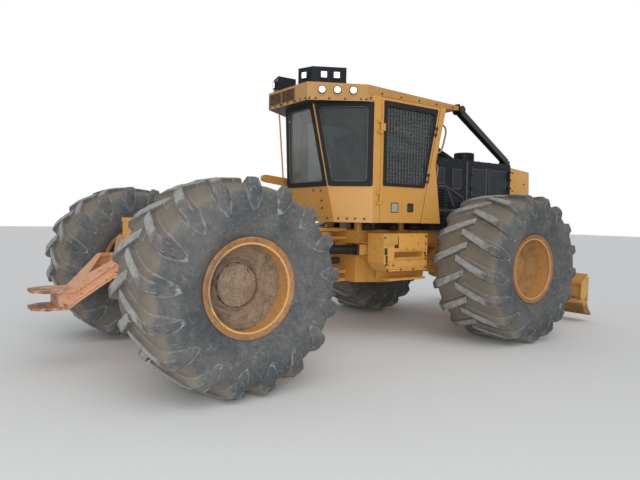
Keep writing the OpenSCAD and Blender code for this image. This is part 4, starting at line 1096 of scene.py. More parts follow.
# cab trim: lamps, visor, bolts, latches and handles
cabForm = {
    # upright faces that carry lamps, as two points in plan
    "facet": ((-0.530, 0.440), (0.080, 0.840)), "pod": ((-0.455, 0.445), (-0.100, 0.640)),
    "podEnd": ((-0.5205, 0.230), (-0.4555, 0.445)),
    # height and how far proud, then each lamp's face and its share along it
    "lampPlaces": {"facet": (3.065, 0.018), "pod": (3.252, 0.020), "podEnd": (3.252, 0.020)},
    "lamps": [("facet", 0.24), ("facet", 0.49), ("facet", 0.75),
              ("pod", 0.32), ("pod", 0.70), ("podEnd", 0.5)],
    "lampRadius": 0.041, "lensFlat": 0.28, "squareLamp": 0.086,
    # panels across the visor: from, to, perforated; slots: place in the panel, pitch
    "visorPanels": [(-0.405, -0.190, False), (-0.160, 0.115, True), (0.145, 0.410, True)],
    "visorZ": (2.985, 3.130), "seamZ": (2.96, 3.15), "boltDrop": 0.018,
    "slotStart": (0.032, 0.023), "slotPitch": (0.0345, 0.0205), "slotRadius": 0.0105,
    "facetBolts": (0.04, 0.14, 0.36, 0.62, 0.88, 0.97), "facetBoltZ": 2.968,
    "visorSideBolts": [(0.12, 2.99), (0.30, 3.065), (0.62, 3.065), (0.94, 3.065), (1.26, 3.065),
                       (1.58, 3.065)],
    "cover": ((0.30, 0.34, 0.035), (0.98, -0.58, 3.110)),
    # bolts and the dark joint on the rear facet: along it, height
    "cabBolts": [(0.643, 1.884), (0.632, 1.762), (0.624, 1.670), (0.735, 1.884), (0.10, 1.545), (0.213, 1.545),
                 (0.312, 1.545), (0.419, 1.545), (0.56, 1.545), (0.70, 1.545), (0.79, 1.545)],
    "foldJoint": [(0.5455, 1.945), (0.5535, 1.945), (0.7445, 2.945), (0.7365, 2.945)],
    # on each door: name, rectangle, inner one, corner radii, thickness, edge, finish, slot
    "doorFlats": [
        ("doorPlate", (0.487, 0.592, 1.640, 1.745), None, 0.008, 0.003, 0.002, "blankPlate", "body_yellow"),
        ("doorPlateEdge", (0.478, 0.601, 1.631, 1.754), (0.487, 0.592, 1.640, 1.745), (0.008, 0.006),
         0.004, 0, "darkPlastic", "black_paint"),
        ("doorPocket", (0.760, 0.862, 1.640, 1.752), (0.775, 0.847, 1.655, 1.737), (0.010, 0.006),
         0.010, 0.002, "darkPlastic", "black_paint"),
        ("doorPocketLid", (0.774, 0.848, 1.654, 1.738), None, 0.004, 0.003, 0, "lampHousing", "black_paint"),
    ],
    "latches": [(1.231, 2.66), (1.250, 2.745), (1.097, 2.04), (1.117, 2.13)],
    "latchSize": (0.052, 0.026, 0.036),
    "latchBars": [((1.232, 2.655), (1.252, 2.750)), ((1.098, 2.035), (1.118, 2.135))],
    # handles ahead of the door: x and z of each bend
    "handles": [[(1.36, 2.845), (1.425, 2.825), (1.490, 2.780), (1.500, 2.730), (1.478, 2.635),
                 (1.430, 2.500), (1.390, 2.455), (1.30, 2.440)],
                [(1.24, 2.320), (1.310, 2.295), (1.352, 2.245), (1.350, 2.180), (1.335, 2.107),
                 (1.300, 1.939), (1.262, 1.835), (1.17, 1.815)]],
    "handleY": 0.80, "handleRadius": 0.0125,
}

def faceSpot(face, share, z, side):
    # a place on an upright face, and the way the face looks
    (x0, y0), (x1, y1) = face
    outward = Vector((y0 - y1, (x1 - x0) * side, 0)).normalized()
    return fromPivot(x0 + share * (x1 - x0), (y0 + share * (y1 - y0)) * side, z), outward

def makeRoundLamp(s):
    r = s["lampRadius"]
    housing = spinRing("roundLamp", [(0.0, r + 0.004), (0.012, r + 0.006), (0.016, r + 0.001),
                                     (0.010, r - 0.004), (-0.004, r - 0.004)], 32)
    housing.data.transform(upright)
    clearSelection()
    bpy.ops.mesh.primitive_uv_sphere_add(segments=28, ring_count=14, radius=r - 0.003)
    lens = bpy.context.object
    startEdit(lens)
    selectAll()
    bpy.ops.mesh.bisect(plane_co=(0, 0, 0), plane_no=(0, 0, 1), clear_inner=True, use_fill=True)
    selectAll()
    bpy.ops.transform.resize(value=(1, 1, s["lensFlat"]))
    endEdit()
    return housing, lens

def makeSquareLamp(size):
    half = size / 2
    corners = [(-half, -half, 0), (half, -half, 0), (half, half, 0), (-half, half, 0)]
    up = (0, 0, 1)
    housing = ringBetween("squareLamp", grown(corners, 0.003), grown(corners, -0.009), (0.012, 0.008),
                          0.012, up)
    return housing, panelOf("squareLens", grown(corners, -0.008), 0.009, 0.009, up, 0.003)

def makeLamps(s):
    roundLamp, squareLamp = makeRoundLamp(s), makeSquareLamp(s["squareLamp"])
    for side, label in bothSides:
        for k, (face, share) in enumerate(s["lamps"]):
            z, proud = s["lampPlaces"][face]
            place, outward = faceSpot(s[face], share, z, side)
            put = facing(place + outward * proud, outward)
            onRoof = face == "facet"
            housing, lens = roundLamp if onRoof else squareLamp
            body = bodyOf("cab_roof" if onRoof else "lamp_pod_" + label.lower())
            complete(copyOf(housing, put, f"lampHousing{label}{k}"), body, "lampHousing")
            complete(copyOf(lens, put, f"lampLens{label}{k}"), body, "lampLit")
    discard(*roundLamp, *squareLamp)
    print("lamps: twelve, lit")

def backFace(y0, y1, z0, z1):
    # a rectangle on the visor's back face
    x = cabForm["facet"][0][0]
    return [fromPivot(x, y, z) for y, z in ((y0, z0), (y1, z0), (y1, z1), (y0, z1))]

def makeVisorTrim(s):
    body = bodyOf("cab_roof")
    rearward = (-1, 0, 0)
    panels, seams, bolts, slots = [], [], [], []
    for y0, y1, perforated in s["visorPanels"]:
        corners = backFace(y0, y1, *s["visorZ"])
        if perforated:
            panel = panelOf("visorPanel", corners, 0.010, 0.006, rearward)
            startEdit(panel)
            pick(panel, "FACE", lambda p, f: f.normal.x < -0.9)
            bpy.ops.mesh.inset(thickness=0.014, depth=-0.002)
            endEdit()
            panels.append(panel)
            (y, z), (dy, dz) = s["slotStart"], s["slotPitch"]
            slots += [corners[0] + Vector((-0.0035, y + col * dy, z + row * dz))
                      for row in range(6) for col in range(7)]
        drop = Vector((0, 0, -s["boltDrop"]))
        bolts += [(p, rearward) for p in spaced(corners[0] + drop, corners[1] + drop, 3)]
        seams.append(panelOf("seam", backFace(y1 + 0.013, y1 + 0.017, *s["seamZ"]), 0, 0.0015, rearward, 0))
    clearSelection()
    bpy.ops.mesh.primitive_cylinder_add(vertices=6, radius=s["slotRadius"], depth=0.004,
                                        rotation=(0, math.radians(90), 0))
    hole = bpy.context.object
    settle(hole)
    roundEdges(hole, 0.001, 1)
    holes = [copyOf(hole, Matrix.Translation(p), "hole") for p in slots]
    discard(hole)
    completeAll(panels, "visorPanels", body, "rustPlate")
    completeAll(holes, "visorHoles", body, "darkPlastic")
    completeAll(seams, "visorSeams", body, "darkPlastic", 0)
    for side in (-1, 1):
        bolts += [faceSpot(s["facet"], share, s["facetBoltZ"], side) for share in s["facetBolts"]]
        bolts += sideSpots(side, 0.840, s["visorSideBolts"])
    completeBolts("visorBolts", bolts, 0.85, body)
    size, place = s["cover"]
    complete(roundBlock("roofCover", size, fromPivot(*place), 0.012), body, "darkPlastic")

def makeCabTrim(s):
    shell = bodyOf("cab_rear_wall")
    bolts, joints = [], []
    for side in (-1, 1):
        outward = Vector((-0.7241, side * 0.6896, 0))
        bolts += [(facetSpot(along, z, side), outward) for along, z in s["cabBolts"]]
        corners = [facetSpot(along, z, side) for along, z in s["foldJoint"]]
        joints.append(panelOf("foldJoint", corners, 0, 0.002, outward, 0))
    completeBolts("cabBolts", bolts, 0.9, shell)
    completeAll(joints, "foldJoints", shell, "darkPlastic", 0)
    for side, label in bothSides:
        door = bodyOf("door_" + label.lower())
        completeFlats(s["doorFlats"], side, label, windowForm["doorY"], door)
        # latches on the door's free edge
        parts = []
        for x, z in s["latches"]:
            parts.append(roundBlock("latch", s["latchSize"], fromPivot(x, side * 0.862, z), 0.006))
            ends = [fromPivot(x, side * y, z) for y in (0.850, 0.884)]
            parts.append(startRod("latchPin", *ends, 0.011, 12, 0.003))
        for bar in s["latchBars"]:
            ends = [fromPivot(x, side * 0.880, z) for x, z in bar]
            parts.append(startRod("latchBar", *ends, 0.006, 10, 0.002))
        completeAll(parts, "doorLatches" + label, door, "boltSteel")
        paths = [[fromPivot(x, side * s["handleY"], z) for x, z in path] for path in s["handles"]]
        bars = [startHose("handle", path, s["handleRadius"], 10) for path in paths]
        completeAll(bars, "cabHandles" + label, bodyOf("cab_front_wall"), "handleSteel", 40)
    print("cab trim done")

makeLamps(cabForm)
makeVisorTrim(cabForm)
makeCabTrim(cabForm)

# engine housing: pressed strips, bolts, latches, a duct, the pre-cleaner's ribs
hoodForm = {
    "sideY": 0.600,
    # strips: from, to (x, z) and width; bolts: x, z; dark screens over the louvres: x from, to, z from, to
    "side": {
        "strips": [((1.569, 2.022), (1.791, 2.021), 0.030), ((1.791, 2.021), (2.127, 1.869), 0.026),
                   ((2.127, 1.869), (2.159, 1.745), 0.026), ((1.783, 2.003), (1.934, 1.738), 0.030),
                   ((1.569, 2.022), (1.600, 1.690), 0.026), ((1.625, 1.684), (2.160, 1.690), 0.034),
                   ((2.200, 2.400), (2.215, 1.480), 0.040), ((2.100, 1.690), (2.150, 1.440), 0.026)],
        "stripThick": 0.007,
        "bolts": [(1.490, 2.385), (1.760, 2.385), (2.030, 2.385), (2.232, 1.975), (2.232, 2.300),
                  (2.232, 1.640), (1.480, 2.050), (1.480, 1.680), (1.760, 1.660), (2.060, 1.660),
                  (1.480, 1.500), (2.232, 1.490)],
        "screens": [(1.525, 1.715, 2.062, 2.270), (1.895, 2.080, 2.000, 2.270)],
    },
    "door": {
        "strips": [((2.650, 2.340), (2.655, 1.900), 0.036), ((2.700, 2.340), (2.705, 1.900), 0.018)],
        "stripThick": 0.006,
        "bolts": [(2.310, 2.325), (2.704, 2.325), (3.140, 2.325), (2.310, 1.915), (2.704, 1.915),
                  (3.140, 1.915)],
        "screens": [(2.318, 2.612, 1.925, 2.300), (2.735, 3.120, 1.925, 2.300)],
    },
    "capBolts": [(3.30, 2.30), (3.30, 2.02), (3.30, 1.72), (3.60, 2.14), (3.72, 1.86), (3.70, 1.60)],
    # turn latches on the door's rear edge
    "latchX": 2.325, "latchZ": (2.02, 2.22),
    "duct": [(1.42, 0.66, 2.590), (1.58, 0.54, 2.550), (1.74, 0.47, 2.507), (1.92, 0.45, 2.455),
             (2.06, 0.45, 2.400)],
    "ductRadius": 0.042, "ductRings": 24,
}
capForm = {"topDrop": 0.045, "frontLean": 0.040, "chinRise": 0.060, "corner": 0.030, "grilleInset": 0.100,
           "grilleDepth": 0.050, "slats": 12, "slatThick": 0.010, "slatTilt": 28,
           # the slats' room below and above, and their shares of the recess
           "slatRoom": (0.060, 0.055), "slatDeep": 0.9, "slatBack": 0.56}
precleanerForm = {"lid": [(-0.012, 0.0), (-0.012, 0.157), (0.004, 0.157), (0.010, 0.145), (0.014, 0.0)],
                  "ribs": 30, "ribSize": (0.010, 0.014, 0.105), "ribAt": (0.154, -0.068)}
riserForm = {"cap": [(0.0, 0.056), (0.008, 0.056), (0.010, 0.050), (0.010, 0.026), (0.005, 0.022),
                     (0.0, 0.022)],
             "hub": [(0.0, 0.0), (0.008, 0.0), (0.008, 0.018), (0.005, 0.021), (0.0, 0.021)],
             "boss": (1.759, 0.856, 3.054), "feetX": (3.095, 3.215), "feetY": 0.512, "feetZ": 2.480}

def startStrip(a, b, width, thick, y, side):
    a, b = Vector(a), Vector(b)
    along = (b - a).normalized() * 0.004
    across = Vector((-(b - a).y, (b - a).x)).normalized() * width / 2
    corners = [a - along - across, b + along - across, b + along + across, a - along + across]
    return panelOf("strip", [fromPivot(c.x, side * y, c.y) for c in corners], 0, thick, (0, side, 0))

def makeHoodTrim(s):
    shell, y = bodyOf("hood_shell"), s["sideY"]
    for side, label in bothSides:
        out = (0, side, 0)
        door = bodyOf("hood_door_" + label.lower())
        for part, word, rider in (("side", "", shell), ("door", "Door", door)):
            f = s[part]
            strips = [startStrip(a, b, w, f["stripThick"], y, side) for a, b, w in f["strips"]]
            completeAll(strips, "hood" + word + "Strips" + label, rider, "hoodStrip")
            completeBolts("hood" + word + "Bolts" + label, sideSpots(side, y, f["bolts"]), 0.9, rider)
            sheets, rims = [], []
            for rect in f["screens"]:
                corners = flat(side, y, rect)
                sheets.append(panelOf("sheet", corners, 0.014, 0.003, out, 0))
                rims.append(ringBetween("rim", grown(corners, 0.012), grown(corners, -0.004),
                                        (0.020, 0.012), 0.006, out, 0.0015))
            completeAll(sheets, "hoodScreens" + part.title() + label, rider, "screen")
            completeAll(rims, "hoodScreenRims" + part.title() + label, rider, "hoodStrip")
        parts = []
        for z in s["latchZ"]:
            for size, proud in (((0.060, 0.010, 0.036), 0.005), ((0.044, 0.012, 0.011), 0.014)):
                place = fromPivot(s["latchX"], side * (y + proud), z)
                parts.append(roundBlock("latchPart", size, place, 0.004))
        completeAll(parts, "hoodLatches" + label, door, "darkPlastic")
        completeBolts("capBolts" + label, sideSpots(side, y, s["capBolts"]), 0.9, bodyOf("hood_cap"))

def makeDuct(s):
    # a ribbed duct from the cab's front corner down to the housing
    path = [fromPivot(x, -y, z) for x, y, z in s["duct"]]
    r = s["ductRadius"]
    duct = startHose("duct", path, r, 14)
    section = [(-0.006, r - 0.004), (-0.003, r + 0.006), (0.003, r + 0.006), (0.006, r - 0.004)]
    rings = []
    for k in range(s["ductRings"]):
        f = (0.02 + 0.94 * k / (s["ductRings"] - 1)) * (len(path) - 1)
        i = min(int(f), len(path) - 2)
        ring = spinRing("ductRing", section, 24)
        ring.data.transform(facing(path[i].lerp(path[i + 1], f - i), path[i + 1] - path[i]) @ upright)
        rings.append(ring)
    completeAll([duct] + rings, "frontDuct", bodyOf("hood_shell"), "ductRubber", 45)

def makePrecleaner(s):
    low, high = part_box("precleaner")
    centre = Vector(((low[0] + high[0]) / 2, (low[1] + high[1]) / 2, 0))
    top = high[2]
    lid = spinRing("lid", [(top + up, r) for up, r in s["lid"]], 48)
    lid.data.transform(upright)
    lid.location = centre
    settle(lid)
    out, down = s["ribAt"]
    rib = roundBlock("rib", s["ribSize"], (out, 0, top + down), 0.003, 1)
    ribs = [copyOf(rib, Matrix.Translation(centre) @ turned(360 * k / s["ribs"], "Z"), "rib")
            for k in range(s["ribs"])]
    discard(rib)
    completeAll([lid] + ribs, "precleanerRibs", bodyOf("precleaner"), "darkPlastic")

def makeRiserTrim(s):
    # boss caps and foot bolts of the limb risers
    cap, hub = spinRing("bossCap", s["cap"], 36), spinRing("bossHub", s["hub"], 24)
    x, y, z = s["boss"]
    for side, label in bothSides:
        place = Matrix.Translation(fromPivot(x, side * y, z)) @ Matrix.Scale(side, 4, (0, 1, 0))
        rider = bodyOf("riser_" + label.lower())
        for part, word, finish in ((cap, "Bosscap", "darkPlastic"), (hub, "Bosshub", "rustPlate")):
            copy = copyOf(part, place, "riser" + label + word)
            recalc(copy)
            complete(copy, rider, finish, 40)
        feet = [(fromPivot(foot, side * s["feetY"], s["feetZ"]), (0, 0, 1)) for foot in s["feetX"]]
        completeBolts("riserFootBolts" + label, feet, 1.1, rider)
    discard(cap, hub)
    print("hood trim done")

def makeCap(s):
    # the square-fronted cap over the radiator, with slats across its front
    low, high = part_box("hood_cap")
    size = [high[k] - low[k] for k in range(3)]
    cap = startBlock("hoodCapShell", size, [(low[k] + high[k]) / 2 for k in range(3)])
    startEdit(cap)
    pick(cap, "VERT", lambda p, v: p.x > high[0] - 0.01 and p.z > high[2] - 0.01)
    bpy.ops.transform.translate(value=(-s["frontLean"], 0, -s["topDrop"]))
    pick(cap, "VERT", lambda p, v: p.x > high[0] - 0.01 and p.z < low[2] + 0.01)
    bpy.ops.transform.translate(value=(0, 0, s["chinRise"]))
    pick(cap, "EDGE", lambda p, e: min(v.co.x for v in e.verts) > high[0] - 0.06)
    bpy.ops.mesh.bevel(offset=s["corner"], segments=4, affect="EDGES")
    pick(cap, "FACE", lambda p, f: f.normal.x > 0.95 and f.calc_area() > 0.3)
    bpy.ops.mesh.inset(thickness=s["grilleInset"])
    bpy.ops.mesh.inset(thickness=0.004, depth=-s["grilleDepth"])
    endEdit()
    recalc(cap)
    roundEdges(cap, 0.004, 2, 40)
    body = bodyOf("hood_cap")
    complete(cap, body, "bodyYellow")
    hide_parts("hood_cap")
    # slats lean out of the recess
    chin, brow = low[2] + s["chinRise"], high[2] - s["topDrop"]
    lowest, highest = chin + s["grilleInset"] + s["slatRoom"][0], brow - s["grilleInset"] - s["slatRoom"][1]
    wide = size[1] - 2 * s["grilleInset"] - 0.004
    slat = roundBlock("capSlat", (s["grilleDepth"] * s["slatDeep"], wide, s["slatThick"]), (0, 0, 0), 0.003)
    slats = []
    for k in range(s["slats"]):
        z = lowest + k / (s["slats"] - 1) * (highest - lowest)
        x = high[0] - s["grilleDepth"] * s["slatBack"] - s["frontLean"] * (z - chin) / (brow - chin)
        slats.append(copyOf(slat, Matrix.Translation((x, 0, z)) @ turned(s["slatTilt"], "Y"), "capSlat"))
    discard(slat)
    completeAll(slats, "capSlats", body, "chassisYellow")
    print("cap made with", s["slats"], "slats")

makeHoodTrim(hoodForm)
makeDuct(hoodForm)
makeCap(capForm)
makePrecleaner(precleanerForm)
makeRiserTrim(riserForm)

# step boxes: cover plates, latches, treads, bolts and the cab's rubber mounts
stepForm = {
    "face": 0.900,
    # name, rectangle, inner one, corner radii, thickness, edge, finish, slot
    "cover": [("stepCover", (0.345, 0.560, 1.228, 1.362), None, 0.024,
               0.012, 0.004, "bodyYellow", "body_yellow")],
    "slot": [("stepSlot", (0.362, 0.396, 1.005, 1.100), (0.370, 0.388, 1.014, 1.091), (0.014, 0.008),
              0.005, 0.002, "rustPlate", "body_yellow"),
             ("stepSlotBack", (0.3705, 0.3875, 1.0145, 1.0905), None, 0.007,
              0.0015, 0, "darkPlastic", "black_paint")],
    # a bolted plate over the upper opening and a sill under the lower one: rectangle, corner radius
    "plates": [((0.575, 1.045, 1.160, 1.345), 0.012), ((0.480, 1.040, 0.952, 1.052), 0.006)],
    # lips: rectangle, how far in front of the face, thickness; the last is the tread's folded one
    "lips": [((0.395, 1.075, 0.926, 0.940), 0, 0.010), ((1.066, 1.080, 0.915, 1.350), 0, 0.008),
             ((0.495, 1.030, 1.048, 1.066), 0.006, 0.020)],
    # grip teeth: size, first place, pitch, how many
    "teeth": [((0.018, 0.060, 0.012), (0.525, 0.894, 1.069), 0.034, 15),
              ((0.016, 0.20, 0.009), (0.470, 0.790, 0.806), 0.040, 16)],
    "bolts": [(0.352, 1.318), (0.372, 0.985), (0.395, 0.918), (1.060, 1.335), (1.045, 1.240), (1.045, 1.120),
              (1.060, 1.085), (1.060, 1.045), (1.060, 0.935), (0.620, 0.925), (0.840, 0.925)],
    # the latch's plate and lever: size, place, edge
    "latch": [((0.042, 0.012, 0.085), (0.362, 0.906, 1.150), 0.008),
              ((0.022, 0.016, 0.062), (0.362, 0.918, 1.142), 0.006)],
}
mountForm = {"section": [(1.402, 0.0), (1.402, 0.062), (1.412, 0.066), (1.420, 0.052), (1.432, 0.066),
                         (1.444, 0.066), (1.456, 0.052), (1.468, 0.066), (1.478, 0.062), (1.4985, 0.048),
                         (1.4985, 0.0)],
             "places": [(0.75, 0.62), (0.30, 0.62), (1.12, 0.62)]}

def makeSteps(s):
    shell, face = bodyOf("step_box_right"), s["face"]
    for side, label in bothSides:
        out = (0, side, 0)
        completeFlats(s["cover"], side, label, face, shell)
        plates = [panelOf("stepPlate", flat(side, face, rect), r, 0.007, out) for rect, r in s["plates"]]
        completeAll(plates, "stepPlates" + label, shell, "chassisYellow")
        parts = [panelOf("lip", flat(side, face + ahead, rect), 0, thick, out, 0.003)
                 for rect, ahead, thick in s["lips"]]
        for size, (x, y, z), pitch, count in s["teeth"]:
            tooth = roundBlock("tooth", size, fromPivot(x, side * y, z), 0.003, 1)
            parts += [copyOf(tooth, Matrix.Translation((pitch * k, 0, 0)), "tooth") for k in range(1, count)]
            parts.append(tooth)
        completeAll(parts, "stepTreads" + label, shell, "chassisYellow")
        completeBolts("stepBolts" + label, sideSpots(side, face, s["bolts"]), 1.1, shell)
        parts = [roundBlock("latchPart", size, fromPivot(x, side * y, z), edge)
                 for size, (x, y, z), edge in s["latch"]]
        completeAll(parts, "stepLatch" + label, shell, "lampHousing")
        completeFlats(s["slot"], side, label, face, shell)
    print("steps done")

def makeMounts(s):
    mount = spinRing("mount", s["section"], 32)
    mount.data.transform(upright)
    places = [fromPivot(x, side * y, 0) for x, y in s["places"] for side in (-1, 1)]
    copies = [copyOf(mount, Matrix.Translation(place), "mountCopy") for place in places]
    discard(mount)
    completeAll(copies, "cabMounts", bodyOf("cab_floor"), "ductRubber", 40)

makeSteps(stepForm)
makeMounts(mountForm)

# cylinders: pins of barrel and rod (x, half spacing, z), barrel's radius and length
cylinders = {
    "arch": ((-1.40, 0.44, 1.33), (-2.40, 0.44, 1.26), 0.060, 0.72),
    "blade": ((3.40, 0.60, 1.33), (3.50, 0.60, 0.62), 0.055, 0.42),
    "steer": ((0.50, 0.45, 1.15), (-0.64, 0.25, 1.15), 0.060, 0.72),
}
# bands: at the gland, from the barrel's end; in the middle, a share of its length; at its foot, from
# the pin; then width and rise
bandForm = {"gland": (0.028, 0.030, 0.008), "middle": (0.45, 0.018, 0.005), "foot": (0.120, 0.018, 0.005),
            "edge": 0.002}
# the pipe along a barrel: its ends and bends from pin and gland, and how far off the barrel
pipeForm = {"start": (0.125, 0.006), "bend": (0.150, 0.018), "lastBend": (0.075, 0.018),
            "end": (0.050, 0.004), "radius": 0.009}
# collars: place along the barrel, length, half widths inboard and outboard, half height
collarForm = {"pieces": [("Collar", 0.085, 0.120, 0.0625, 0.086, 0.0685, "chassisYellow", "body_yellow"),
                         ("EndPlate", 0.208, 0.028, 0.0615, 0.080, 0.0665, "lampHousing", "black_paint")],
              "hole": 0.0603}

def barrelLine(name, side):
    # a barrel's pin and direction
    pin, rod = (fromPivot(x, side * y, z) for x, y, z in cylinders[name][:2])
    return pin, (rod - pin).normalized()

def makeBands(name, node, pin, along):
    radius, length = cylinders[name][2:]
    s, parts = bandForm, []
    spots = [(length - s["gland"][0], *s["gland"][1:]), (length * s["middle"][0], *s["middle"][1:])]
    if name != "steer":
        spots.append(s["foot"])
    for at, width, rise in spots:
        half, top = width / 2, radius + rise
        low, high = radius - s["edge"], top - s["edge"]
        band = spinRing("band", [(-half, low), (-half, high), (s["edge"] - half, top),
                                 (half - s["edge"], top), (half, high), (half, low)], 32)
        band.data.transform(facing(pin + along * at, along) @ upright)
        parts.append(band)
    completeAll(parts, camel(node) + "Bands", bodyOf(node), "darkPlastic", 35)

def makePipe(name, node, pin, along):
    radius, length = cylinders[name][2:]
    s = pipeForm
    up = Vector((0, 0, 1)) if abs(along.z) < 0.8 else Vector((-1, 0, 0))
    off = (up - along * up.dot(along)).normalized()
    bend, end = s["lastBend"], s["end"]
    spots = [s["start"], s["bend"], (length * 0.5, s["bend"][1]), (length - bend[0], bend[1]),
             (length - end[0], end[1])]
    points = [pin + along * at + off * (radius + lift) for at, lift in spots]
    pipe = startHose("pipe", points, s["radius"], 8)
    complete(pipe, bodyOf(node), "hoseRubber", 40)
    pipe.name = camel(node) + "Pipe"

def makeCollars(s):
    # a square yellow collar and a black end plate round each steering barrel
    for side, label in bothSides:
        node = "steer_barrel_" + label.lower()
        pin, along = barrelLine("steer", side)
        out = Vector((along.y, -along.x, 0)) * side
        out = out if out.y * side > 0 else -out
        for word, at, long, inboard, outboard, tall, finish, slotName in s["pieces"]:
            def square(low, high, half):
                corners = ((-low, -half), (high, -half), (high, half), (-low, half))
                return [pin + along * at + out * y + Vector((0, 0, z)) for y, z in corners]
            block = ringBetween("steer" + label + word, square(inboard, outboard, tall),
                                square(s["hole"], s["hole"], s["hole"]), (0.012, 0.0), long, along, 0.004)
            complete(block, bodyOf(node), finish)

for cylinder in cylinders:
    for side, label in bothSides:
        barrel = f"{cylinder}_barrel_{label.lower()}"
        makeBands(cylinder, barrel, *barrelLine(cylinder, side))
        if cylinder != "steer":      # its bay has no room for a pipe
            makePipe(cylinder, barrel, *barrelLine(cylinder, side))
makeCollars(collarForm)
print("cylinder bands and pipes done")

# bolts on the plain plates, each set on the surface that a ray meets
fixingForm = {
    # node, outward direction, ends of a row in metres from the pivot, how many, size, on both sides
    "rows": [
        ("blade", (1, 0, 0), (5.0, -1.20, 0.34), (5.0, 1.20, 0.34), 12, 1.5, False),
        ("blade", (1, 0, 0), (5.0, -1.16, 0.44), (5.0, 1.16, 0.44), 2, 1.5, False),
        ("cab_roof", (0, 0, 1), (-0.20, 0.70, 4.0), (1.50, 0.70, 4.0), 7, 0.9, True),
        ("cab_front_wall", (1, 0, 0), (3.0, -0.70, 1.62), (3.0, 0.70, 1.62), 6, 0.9, False),
        ("front_frame", (0, 1, 0), (2.72, 2.0, 1.24), (3.22, 2.0, 1.24), 5, 1.4, True),
        ("rear_frame", (0, 1, 0), (-2.38, 2.0, 1.24), (-1.20, 2.0, 1.24), 8, 1.3, True),
        ("rear_frame", (0, 0, 1), (-2.30, -0.20, 3.0), (-2.30, 0.20, 3.0), 3, 1.3, False),
        ("hood_shell", (0, 0, 1), (1.55, 0.56, 3.0), (3.00, 0.56, 3.0), 7, 0.9, True),
    ],
    "frontMargin": 0.028,
}

def surfaceSpots(nodeName, outward, places):
    # where rays from outside meet a node, with the surface's direction there
    node = frame["nodes"][nodeName]
    inward = -Vector(outward)
    spots = []
    for place in places:
        met, spot, normal, face = node.ray_cast(place, inward)
        if met and normal.dot(inward) < -0.7:
            spots.append((spot, normal.copy()))
    return spots

def makeFixings(s):
    rows = {}
    for node, (nx, ny, nz), (xa, ya, za), (xb, yb, zb), count, size, mirrored in s["rows"]:
        for side in (-1, 1) if mirrored else (1,):
            ends = fromPivot(xa, side * ya, za), fromPivot(xb, side * yb, zb)
            spots = surfaceSpots(node, (nx, side * ny, nz), spaced(*ends, count))
            if spots:
                rows.setdefault(node, []).append(boltsAt("row", spots, size))
    for node, bolts in rows.items():
        completeAll(bolts, camel(node) + "Bolts", bodyOf(node), "boltSteel")
    print("bolts on", len(rows), "plain nodes")

def frameFrontPane(s):
    # the front pane leans, so its corners are read from its own mesh
    corners = [v.co for v in frame["nodes"]["front_window"].data.vertices]
    zLow, zHigh = min(c.z for c in corners), max(c.z for c in corners)
    half = max(c.y for c in corners)
    xLow = max(c.x for c in corners if c.z < zLow + 0.01)
    xHigh = max(c.x for c in corners if c.z > zHigh - 0.01)
    pane = [(xLow, -half, zLow), (xLow, half, zLow), (xHigh, half, zHigh), (xHigh, -half, zHigh)]
    frameWindow("frontWindow", pane, s["frontMargin"], planeNormal(pane, (1, 0, 0)),
                bodyOf("cab_front_wall"))

makeFixings(fixingForm)
frameFrontPane(fixingForm)

# the seat: cushion, back and armrests in place of the plain solid
seatForm = {
    "pads": {
        "seatCushion": {"size": (0.50, 0.50, 0.13), "place": (0.690, 0.0, 1.850), "welt": 0.030, "lean": 0},
        "seatBack": {"size": (0.125, 0.48, 0.62), "place": (0.450, 0.0, 2.230), "welt": 0.028, "lean": 10},
        "seatHead": {"size": (0.095, 0.28, 0.15), "place": (0.372, 0.0, 2.575), "welt": 0.022, "lean": 10},
    },
    "fill": 0.75,
    # the middle stands proud and a seam sinks in: shares of the pad's two wide sizes, then growth
    "proud": (0.72, 0.72, 1.16), "seam": (0.1, 0.9, 0.90),
    "arm": {"size": (0.34, 0.070, 0.055), "place": (0.620, 0.285, 2.085)},
    "stay": ((0.470, 0.262, 2.06), (0.560, 0.285, 1.86)),
    # the pedestal widens and narrows as it rises: growth, rise
    "pedestal": {"size": (0.34, 0.34, 0.05), "place": (0.68, 0, 1.555),
                 "steps": [(0.80, 0.03), (1.0, 0.10), (1.24, 0.06)]},
    "shell": {"size": (0.035, 0.44, 0.56), "place": (0.375, 0, 2.215), "lean": 10},
}
columnForm = {
    "foot": (1.14, 0.0, 1.56), "top": (0.98, 0.0, 2.17), "radius": 0.032,
    "wheel": (0.965, 0, 2.205), "wheelRadius": 0.175, "wheelRim": 0.014, "wheelLean": -24,
    "hub": (0.975, 0, 2.190), "spokes": (0.3, 2.4, 4.5), "spokeReach": 0.17,
    "console": {"size": (0.30, 0.46, 0.30), "place": (1.15, 0, 1.70)},
}

def leaning(place, degrees):
    return Matrix.Translation(fromPivot(*place)) @ turned(-degrees, "Y")

def startCushion(name, s):
    pad = startBlock(name, s["size"], (0, 0, 0))
    startEdit(pad)
    selectAll()
    bpy.ops.mesh.subdivide(number_cuts=5)
    half = [d / 2 for d in s["size"]]
    thin = s["size"].index(min(s["size"]))
    a, b = [k for k in range(3) if k != thin]
    for shareA, shareB, grow in (seatForm["proud"], seatForm["seam"]):
        pick(pad, "VERT", lambda p, v: abs(p[a]) < half[a] * shareA and abs(p[b]) < half[b] * shareB)
        scale = [grow if k == thin else 1 for k in range(3)]
        bpy.ops.transform.resize(value=scale, center_override=(0, 0, 0))
    endEdit()
    roundEdges(pad, s["welt"], 3, 50)
    finishModifier(pad, "SUBSURF", levels=2, render_levels=2)
    pad.matrix_world = leaning(s["place"], s["lean"])
    settle(pad)
    recalc(pad)
    return pad

